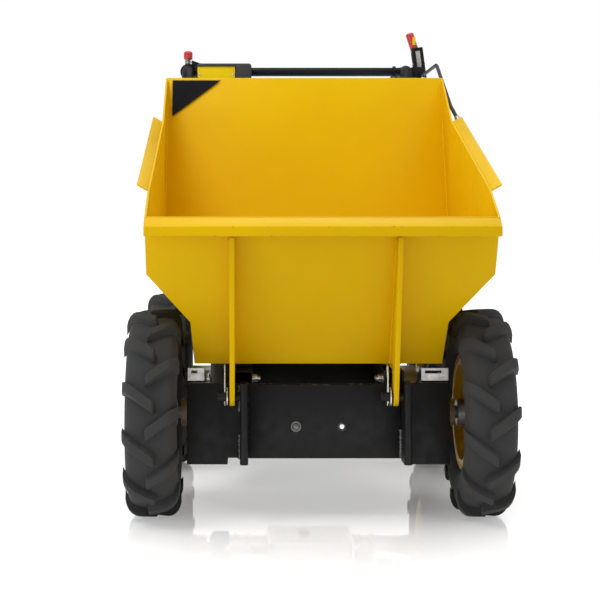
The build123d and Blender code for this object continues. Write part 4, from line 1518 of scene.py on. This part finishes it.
@dataclass
class Controls:
    """Handlebar gear: console face, lever fork, grip ribs, cable fittings and clamps."""

    grip_x: float = 0.3
    grip_z: float = 1.0
    grip_r: float = 0.02
    grip_run: Flat = (0.652, 0.776)
    rib_count: int = 14
    bar_y: float = 0.57
    console_face: float = 0.5077
    console_x: float = -0.2
    console_half: float = 0.072
    console_top: float = 1.018
    fork_foot: Flat = (0.343, 0.985)
    fork_top: Flat = (0.332, 1.066)
    fork_half: float = 0.0142
    spring_r: float = 0.0085
    spring_wire: float = 0.0011
    spring_rise: float = 0.0019
    spring_foot: float = 0.0222
    cable_seen: tuple[Point, Point] = ((0.348, 0.009, 0.865), (0.371, -0.12, 0.78))
    cable_r: float = 0.0045
    block_bolt: HexBolt = HexBolt(0.011, 0.006)

    # (height above the grip, place along it) round one rib.
    RIB = ((-0.001, -0.0028), (0.0014, -0.0018), (0.0019, 0.0), (0.0014, 0.0018), (-0.001, 0.0028))
    THROTTLE_COLLAR = band(0.0161, 0.0215, -0.011, 0.011, (0.001, 0.001))
    BAR_COLLAR = band(0.0122, 0.0162, -0.004, 0.004, (0.0007, 0.001))
    BRACKET = ((-0.2895, 1.012), (-0.262, 1.0178), (-0.262, 1.021), (-0.2895, 1.031))
    SLEEVE = (
        (0.0047, -0.026), (0.0062, -0.024), (0.0064, -0.02), (0.0064, 0.018), (0.0056, 0.02), (0.0056, 0.03),
        (0.0047, 0.031),
    )
    LEVER_FERRULE = (
        (0.0046, -0.001), (0.0075, -0.001), (0.0075, 0.016), (0.006, 0.018), (0.006, 0.03), (0.0046, 0.031),
    )
    GEAR_FERRULE = (
        (0.0046, -0.0005), (0.0085, -0.0005), (0.0085, 0.012), (0.0065, 0.014), (0.0065, 0.03), (0.0046, 0.031),
    )

    def build(self) -> None:
        """Make every piece."""
        self.console()
        self.grip_ribs()
        self.lever_fork()
        self.throttle_clamp()
        self.cable_fittings()
        self.bar_clamps()

    def console(self) -> None:
        """A blank yellow plate with a black end block and a raised top edge."""
        left, right = (self.console_x + side * self.console_half for side in SIDES)
        face, top, plate_end = self.console_face, self.console_top, left + 0.105
        plate, trim, screws = Shape(), Shape(), Shape()
        for shape, start, end, out, low, high, ease in (
            (plate, left, left + 0.102, 0.0022, 0.052, 0.009, 0.0008),
            (trim, plate_end, right, 0.008, 0.05, 0.004, 0.002),
            (trim, left - 0.001, plate_end, 0.006, 0.0085, 0.003, 0.0015),
        ):
            shape.box((start, face - out, top - low), (end, face - 0.0002, top - high), ease)
        for x in (left + 0.006, left + 0.096):
            screws.dome(0.003, 0.0016, out_of((x, face - 0.0022, top - 0.0305), FORE), 14)
        plate.show("console_plate", Coat.LABEL)
        trim.show("console_trim", Coat.PLASTIC)
        screws.show("console_screws", Coat.ZINC)

    def grip_ribs(self) -> None:
        """Raised rings along each rubber grip."""
        start, end = self.grip_run
        step = (end - start) / self.rib_count
        section = [(self.grip_r + height, along) for height, along in self.RIB]
        for side, label in zip(SIDES, ("left", "right")):
            place = out_of((side * self.grip_x, start + 0.004, self.grip_z), AFT)
            ribs = Shape().ring(section, place, 40).repeated(self.rib_count - 1, move=(0, step, 0))
            ribs.show(f"grip_ribs_{label}", Coat.GRIP, smooth=50.0)

    def lever_fork(self) -> None:
        """Side plates, pivot and catch of the drive lever, with a small yellow tab."""
        foot, top = (Vector((x, self.bar_y, z)) for x, z in (self.fork_foot, self.fork_top))
        rise = (top - foot).normalized()
        length = (top - foot).length
        place = Matrix.Translation(foot) @ Matrix((Vector(AFT).cross(rise), AFT, rise)).transposed().to_4x4()
        plates, link, pins = Shape(), Shape(), Shape()
        for side in SIDES:
            shift = side * self.fork_half
            plates.box((shift - 0.0013, -0.013, -0.004), (shift + 0.0013, 0.013, length), 0.0008, place)
            inner, outer = sorted((0.42 * shift, 1.09 * shift))
            plates.box((inner, -0.0146, -0.004), (outer, -0.0124, length), 0.0006, place)
        for low, high in ((-0.004, 0.008), (length - 0.009, length)):
            plates.box((-0.006, -0.0144, low), (0.006, -0.0126, high), 0.0, place)
        link.box((-0.0056, -0.0136, 0.007), (0.0056, -0.0118, length - 0.008), 0.0006, place)
        link.box((-0.004, -0.0158, 0.026), (0.004, -0.0134, 0.05), 0.0008, place)
        for height, side in product((0.012, 0.037, length - 0.008), SIDES):
            pins.dome(0.0044, 0.0026, place @ out_of((side * 0.0155, 0, height), (side, 0, 0)), 14)
        plates.show("lever_fork_plates", Coat.BLACK)
        link.show("lever_catch", Coat.STEEL)
        pins.show("lever_fork_pins", Coat.ZINC)
        low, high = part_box("drive_lever_grip")
        tab_at = Matrix.Translation((low + high) / 2 + Vector((0.0025, 0, 0.006)))
        tab = Shape().box((-0.0042, -0.0135, -0.011), (0.0042, -0.0095, 0.011), 0.001, tab_at)
        tab.show("lever_tab", Coat.LABEL)

    def throttle_clamp(self) -> None:
        """Collar, cable lug and spring under the throttle knob."""
        collar = Shape().ring(self.THROTTLE_COLLAR, out_of((-self.grip_x, self.bar_y, self.grip_z), AFT), 40)
        collar.show("throttle_collar", Coat.BLACK)
        upright = Matrix(((1, 0, 0, 0), (0, 0, 1, 0), (0, 1, 0, 0), (0, 0, 0, 1)))
        Shape().prism(self.BRACKET, 0.552, 0.584, 0.001, upright).show("throttle_bracket", Coat.BLACK)
        base = Vector((-self.grip_x, self.bar_y, self.grip_z + self.spring_foot))
        coil = []
        for step in range(8 * 7):
            angle = math.pi * step / 8
            flat = Vector((math.cos(angle), math.sin(angle), 0.0)) * self.spring_r
            coil.append(base + flat + Vector((0.0, 0.0, self.spring_rise * angle / math.pi)))
        Shape().tube(coil, self.spring_wire, 8).show("throttle_spring", Coat.STEEL, smooth=70.0)

    def cable_fittings(self) -> None:
        """A pale sleeve and end ferrules on the drive cable."""
        start, end = (Vector(point) for point in self.cable_seen)
        lathe(self.SLEEVE, start.lerp(end, 0.52), end - start, 20).show("cable_sleeve", Coat.CAST)
        low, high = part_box("drive_cable")
        gear_low, gear_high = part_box("gearbox")
        ferrules = lathe(self.LEVER_FERRULE, (0.3463, high.y, 0.976), FORE, 20)
        gear_end = (low.x, (gear_low.y + gear_high.y) / 2, low.z + self.cable_r)
        ferrules.join(lathe(self.GEAR_FERRULE, gear_end, RIGHT, 20)).show("cable_ferrules", Coat.ZINC)

    def bar_clamps(self) -> None:
        """Collars and bolts where the cross bar meets the handles and the console."""
        collars = Shape()
        for x in (-0.276, -0.268, 0.27):
            collars.ring(self.BAR_COLLAR, out_of((x, self.bar_y, self.grip_z), RIGHT), 36)
        collars.show("bar_collars", Coat.BLACK)
        feet = [(side * self.grip_x, 0.61, self.grip_z - 0.0403) for side in SIDES]
        self.block_bolt.at(feet, DOWN).show("lever_block_bolts", Coat.ZINC)


@dataclass
class Engine:
    """The engine behind the skip: recoil starter, tank fittings, filter, muffler guard and bolts."""

    cowl: Point = (0.157, 0.15, 0.398)
    louvre_count: int = 14
    louvre_tilt: float = math.radians(14)
    screw_ring: float = 0.0815
    pull_at: Point = (-0.018, 0.062, 0.066)
    pull_way: Point = (0.0, 0.66, 0.75)
    cap_ribs: int = 20
    seam_rise: float = 0.032
    seam_ease: float = 0.026
    seam_out: float = 0.005
    head_way: Point = (0.0, -0.866, 0.5)
    head_foot: Point = (0.0, 0.05, 0.412)
    head_rise: float = 0.11
    guard_bars: int = 6
    tail_way: Point = (0.35, -0.9, -0.1)
    small_bolt: HexBolt = HexBolt(0.009, 0.005)
    cover_bolt: HexBolt = HexBolt(0.010, 0.005)
    foot_bolt: HexBolt = HexBolt(0.014, 0.008, 0.006)

    CAP = ((0.028, -0.001), (0.0275, 0.005), (0.026, 0.0068), (0.012, 0.008), (0.0, 0.0082))
    PULL = ((0.009, -0.004), (0.009, 0.006), (0.006, 0.009), (0.006, 0.012))
    TANK_CAP = (
        (0.024, -0.002), (0.024, 0.004), (0.031, 0.005), (0.0325, 0.007), (0.0325, 0.022), (0.031, 0.0245),
        (0.012, 0.0255), (0.0, 0.0255),
    )
    KNOB = ((0.012, -0.001), (0.012, 0.004), (0.01, 0.006), (0.0, 0.0065))
    TAIL = ((0.0085, -0.004), (0.0085, 0.03), (0.0073, 0.03), (0.0073, 0.006), (0.0, 0.006))
    OIL_PLUG = ((0.011, -0.001), (0.011, 0.004), (0.014, 0.005), (0.014, 0.012), (0.012, 0.014), (0.0, 0.014))
    BELT_SCREWS = ((0.15, 0.45), (0.202, 0.398), (-0.23, 0.119), (-0.282, 0.171), (-0.07, 0.34), (-0.012, 0.228))

    def build(self) -> None:
        """Make every piece."""
        self.starter()
        self.tank_fittings()
        self.filter_fittings()
        self.muffler_guard()
        self.rocker_cover()
        self.case_bolts()
        self.belt_cover_bolts()

    def starter(self) -> None:
        """Radial louvres, a centre cap, rim screws and the pull handle of the recoil starter."""
        centre = Vector(self.cowl)
        tilt = Matrix.Rotation(self.louvre_tilt, 4, "X")
        louvre = Shape().box((-0.0005, -0.0042, 0.034), (0.0042, 0.0042, 0.072), 0.0012, tilt)
        louvre.circled(self.louvre_count, centre).show("starter_louvres", Coat.GLOSS_BLACK)
        lathe(self.CAP, centre, RIGHT, 40).show("starter_cap", Coat.ZINC)
        screw = self.small_bolt.at([(-0.0005, 0.0, self.screw_ring)], RIGHT)
        screw.circled(6, centre).show("starter_screws", Coat.ZINC)
        base = centre + Vector(self.pull_at)
        way = Vector(self.pull_way).normalized()
        handle = lathe(self.PULL, base, way, 20)
        bar = base + way * 0.017
        handle.tube([bar + Vector((x, 0, 0)) for x in (-0.027, -0.02, 0.0, 0.02, 0.027)], 0.0068, 16)
        handle.show("starter_handle", Coat.PLASTIC, smooth=50.0)

    def tank_fittings(self) -> None:
        """A ribbed filler cap and a seam flange around the tank."""
        low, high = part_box("fuel_tank")
        foot = Vector((high.x - 0.062, (low.y + high.y) / 2, high.z))
        rib = Shape().box((-0.0018, 0.0318, 0.0075), (0.0018, 0.0342, 0.0215), 0.0006)
        cap = lathe(self.TANK_CAP, foot, UP, 48).join(rib.circled(self.cap_ribs, foot, axis=2))
        cap.show("tank_cap", Coat.PLASTIC)
        ease, reach = self.seam_ease, self.seam_ease + self.seam_out
        east, west, north, south = high.x - ease, low.x + ease, high.y - ease, low.y + ease
        outline = []
        for quarter, (x, y) in enumerate(((east, north), (west, north), (west, south), (east, south))):
            for step in range(7):
                angle = math.pi * (quarter / 2 + step / 12)
                outline.append((x + reach * math.cos(angle), y + reach * math.sin(angle)))
        seam = low.z + self.seam_rise
        Shape().prism(outline, seam - 0.0016, seam + 0.0016).show("tank_seam", Coat.GLOSS_BLACK)

    def filter_fittings(self) -> None:
        """A parting line, a wing knob and ribs on the air filter."""
        low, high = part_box("air_filter")
        under, over = Vector((-0.0012, -0.0012, 0.03)), Vector((high.x, high.y + 0.0012, low.z + 0.034))
        Shape().box(low + under, over, 0.0008).show("filter_seam", Coat.PLASTIC)
        foot = Vector((low.x, (low.y + high.y) / 2, (low.z + high.z) / 2 + 0.008))
        wing = Vector((-0.013, -0.014, -0.0026)), Vector((-0.003, 0.014, 0.0026))
        knob = lathe(self.KNOB, foot, LEFT).box(foot + wing[0], foot + wing[1], 0.001)
        knob.show("filter_knob", Coat.PLASTIC)
        start = low + Vector((-0.0015, 0.018, 0.012))
        rib = Shape().box(start, start + Vector((0.0024, 0.006, 0.014)), 0.0006)
        rib.repeated(7, move=(0, 0.0125, 0)).show("filter_ribs", Coat.PLASTIC)

    def muffler_guard(self) -> None:
        """A slatted heat guard on posts and a short tail pipe."""
        low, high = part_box("muffler")
        x = high.x + 0.006
        rise = (high.z - low.z - 0.012) / self.guard_bars
        first = low.z + 0.004
        bar = Shape().box((x, low.y + 0.004, first), (x + 0.0014, high.y - 0.004, first + 0.62 * rise))
        guard = bar.repeated(self.guard_bars, move=(0, 0, rise))
        for y in (low.y + 0.006, high.y - 0.012):
            guard.box((x + 0.0002, y, low.z + 0.006), (x + 0.0012, y + 0.006, high.z - 0.008))
            for z in (low.z + 0.02, high.z - 0.02):
                guard.box((high.x - 0.002, y + 0.0015, z - 0.003), (x + 0.0006, y + 0.0045, z + 0.003))
        guard.show("muffler_guard", Coat.HOT)
        tail_foot = (high.x - 0.03, low.y + 0.004, low.z + 0.03)
        lathe(self.TAIL, tail_foot, self.tail_way).show("muffler_tail", Coat.HOT)

    def rocker_cover(self) -> None:
        """The bolted rocker cover on the cylinder head."""
        way = Vector(self.head_way).normalized()
        place = out_of(Vector(self.head_foot) + way * self.head_rise, way)
        cover = Shape().box((-0.05, -0.04, -0.002), (0.05, 0.04, 0.012), 0.005, place)
        cover.show("rocker_cover", Coat.GLOSS_BLACK)
        feet = [(x, y, 0.012) for x, y in product((-0.042, 0.042), (-0.032, 0.032))]
        Shape().join(self.small_bolt.at(feet, UP), place).show("rocker_bolts", Coat.ZINC)

    def case_bolts(self) -> None:
        """Bolts of the engine's feet, the oil plugs and the ribs of the crankcase cover."""
        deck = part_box("engine_deck")[1].z
        feet = [(x, y, deck) for x, y in product((-0.074, 0.074), (0.026, 0.268))]
        self.foot_bolt.at(feet, UP).show("engine_foot_bolts", Coat.ZINC)
        plugs = Shape()
        for x in (-0.055, 0.055):
            plugs.join(lathe(self.OIL_PLUG, (x, 0.25, 0.335), AFT))
        plugs.show("oil_plugs", Coat.PLASTIC)
        ribs = Shape().box((-0.072, 0.2485, 0.362), (-0.066, 0.2555, 0.474), 0.002).repeated(7, move=(0.023, 0, 0))
        for z in (0.474, 0.354):
            ribs.box((-0.082, 0.2485, z), (0.082, 0.256, z + 0.008), 0.002)
        ribs.show("case_ribs", Coat.CAST)

    def belt_cover_bolts(self) -> None:
        """Flange screws around the belt cover's face."""
        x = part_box("belt_cover")[0].x
        self.cover_bolt.at([(x, y, z) for y, z in self.BELT_SCREWS], LEFT).show("belt_cover_screws", Coat.ZINC)


@dataclass
class Driveline:
    """Axles, gearbox and frame from below: U-bolts, cover bolts and a drain plug."""

    axle_y: Flat = (-0.555, 0.095)
    axle_z: float = 0.2075
    tube_r: float = 0.028
    rod_r: float = 0.0042
    saddle_x: float = 0.15
    saddle_half: float = 0.016
    rail_low: float = 0.235
    diff_half: float = 0.055
    diff_ring: float = 0.04
    diff_shift: float = 0.001
    diff_bolt: HexBolt = HexBolt(0.010, 0.006)
    gear_bolt: HexBolt = HexBolt(0.011, 0.007)
    drain_plug: HexBolt = HexBolt(0.02, 0.008)
    deck_bolt: HexBolt = HexBolt(0.013, 0.007)
    handle_bolt: HexBolt = HexBolt(0.012, 0.007)

    def build(self) -> None:
        """Make every piece."""
        self.u_bolts()
        self.diff_bolts()
        self.gearbox_bolts()
        self.frame_bolts()

    def u_bolts(self) -> None:
        """Two U-bolts around the axle tube at each saddle, up to the rail."""
        bolts = Shape()
        reach = self.tube_r + self.rod_r
        angles = [math.pi * (1 + step / 14) for step in range(15)]
        arc = [(reach * math.cos(angle), self.axle_z + reach * math.sin(angle)) for angle in angles]
        rod = [(-reach, self.rail_low), *arc, (reach, self.rail_low)]
        for y, side, end in product(self.axle_y, SIDES, SIDES):
            x = side * self.saddle_x + end * self.saddle_half
            bolts.tube([(x, y + along, z) for along, z in rod], self.rod_r, 10)
        bolts.show("axle_u_bolts", Coat.ZINC, smooth=60.0)

    def diff_bolts(self) -> None:
        """A ring of cover bolts on each differential."""
        for y, label, shift in zip(self.axle_y, ("front", "rear"), SIDES):
            feet = []
            for step in range(8):
                angle = math.pi * (step / 4 + 1 / 8)
                across, up = self.diff_ring * math.cos(angle), self.diff_ring * math.sin(angle)
                feet.append((self.diff_half, y + shift * self.diff_shift + across, self.axle_z + up))
            self.diff_bolt.at(feet, RIGHT).show(f"{label}_diff_bolts", Coat.ZINC)

    def gearbox_bolts(self) -> None:
        """Side cover bolts and the drain plug of the gearbox."""
        low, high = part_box("gearbox")
        middle = (low + high) / 2
        rows = list(product((low.y + 0.022, middle.y, high.y - 0.022), (low.z + 0.02, high.z - 0.02)))
        bolts = self.gear_bolt.at([(low.x, y, z) for y, z in rows], LEFT)
        bolts.join(self.gear_bolt.at([(high.x, y, z) for y, z in rows], RIGHT)).show("gearbox_bolts", Coat.ZINC)
        self.drain_plug.at([(middle.x + 0.03, middle.y, low.z)], DOWN).show("gearbox_drain_plug", Coat.STEEL)

    def frame_bolts(self) -> None:
        """Bolts that hold the deck to the rails and the handles to the rear beam."""
        deck = [(side * 0.15, y, 0.302) for side, y in product(SIDES, (-0.04, 0.13, 0.215))]
        beam = [(side * 0.228, y, 0.2955) for side, y in product(SIDES, (0.24, 0.264))]
        self.deck_bolt.at(deck, UP).join(self.handle_bolt.at(beam, UP)).show("frame_bolts", Coat.ZINC)


def main() -> None:
    """Build the whole scene."""
    logging.basicConfig(level=logging.INFO, format="%(name)s %(message)s")
    for node, (finish, radius) in EASES.items():
        eased(node, radius, finish)
    Skip().build()
    for name in WHEELS:
        Wheel(name).build()
    for group in (FrontEnd, Controls, Engine, Driveline, Studio):
        group().build()


if __name__ == "__main__":
    main()
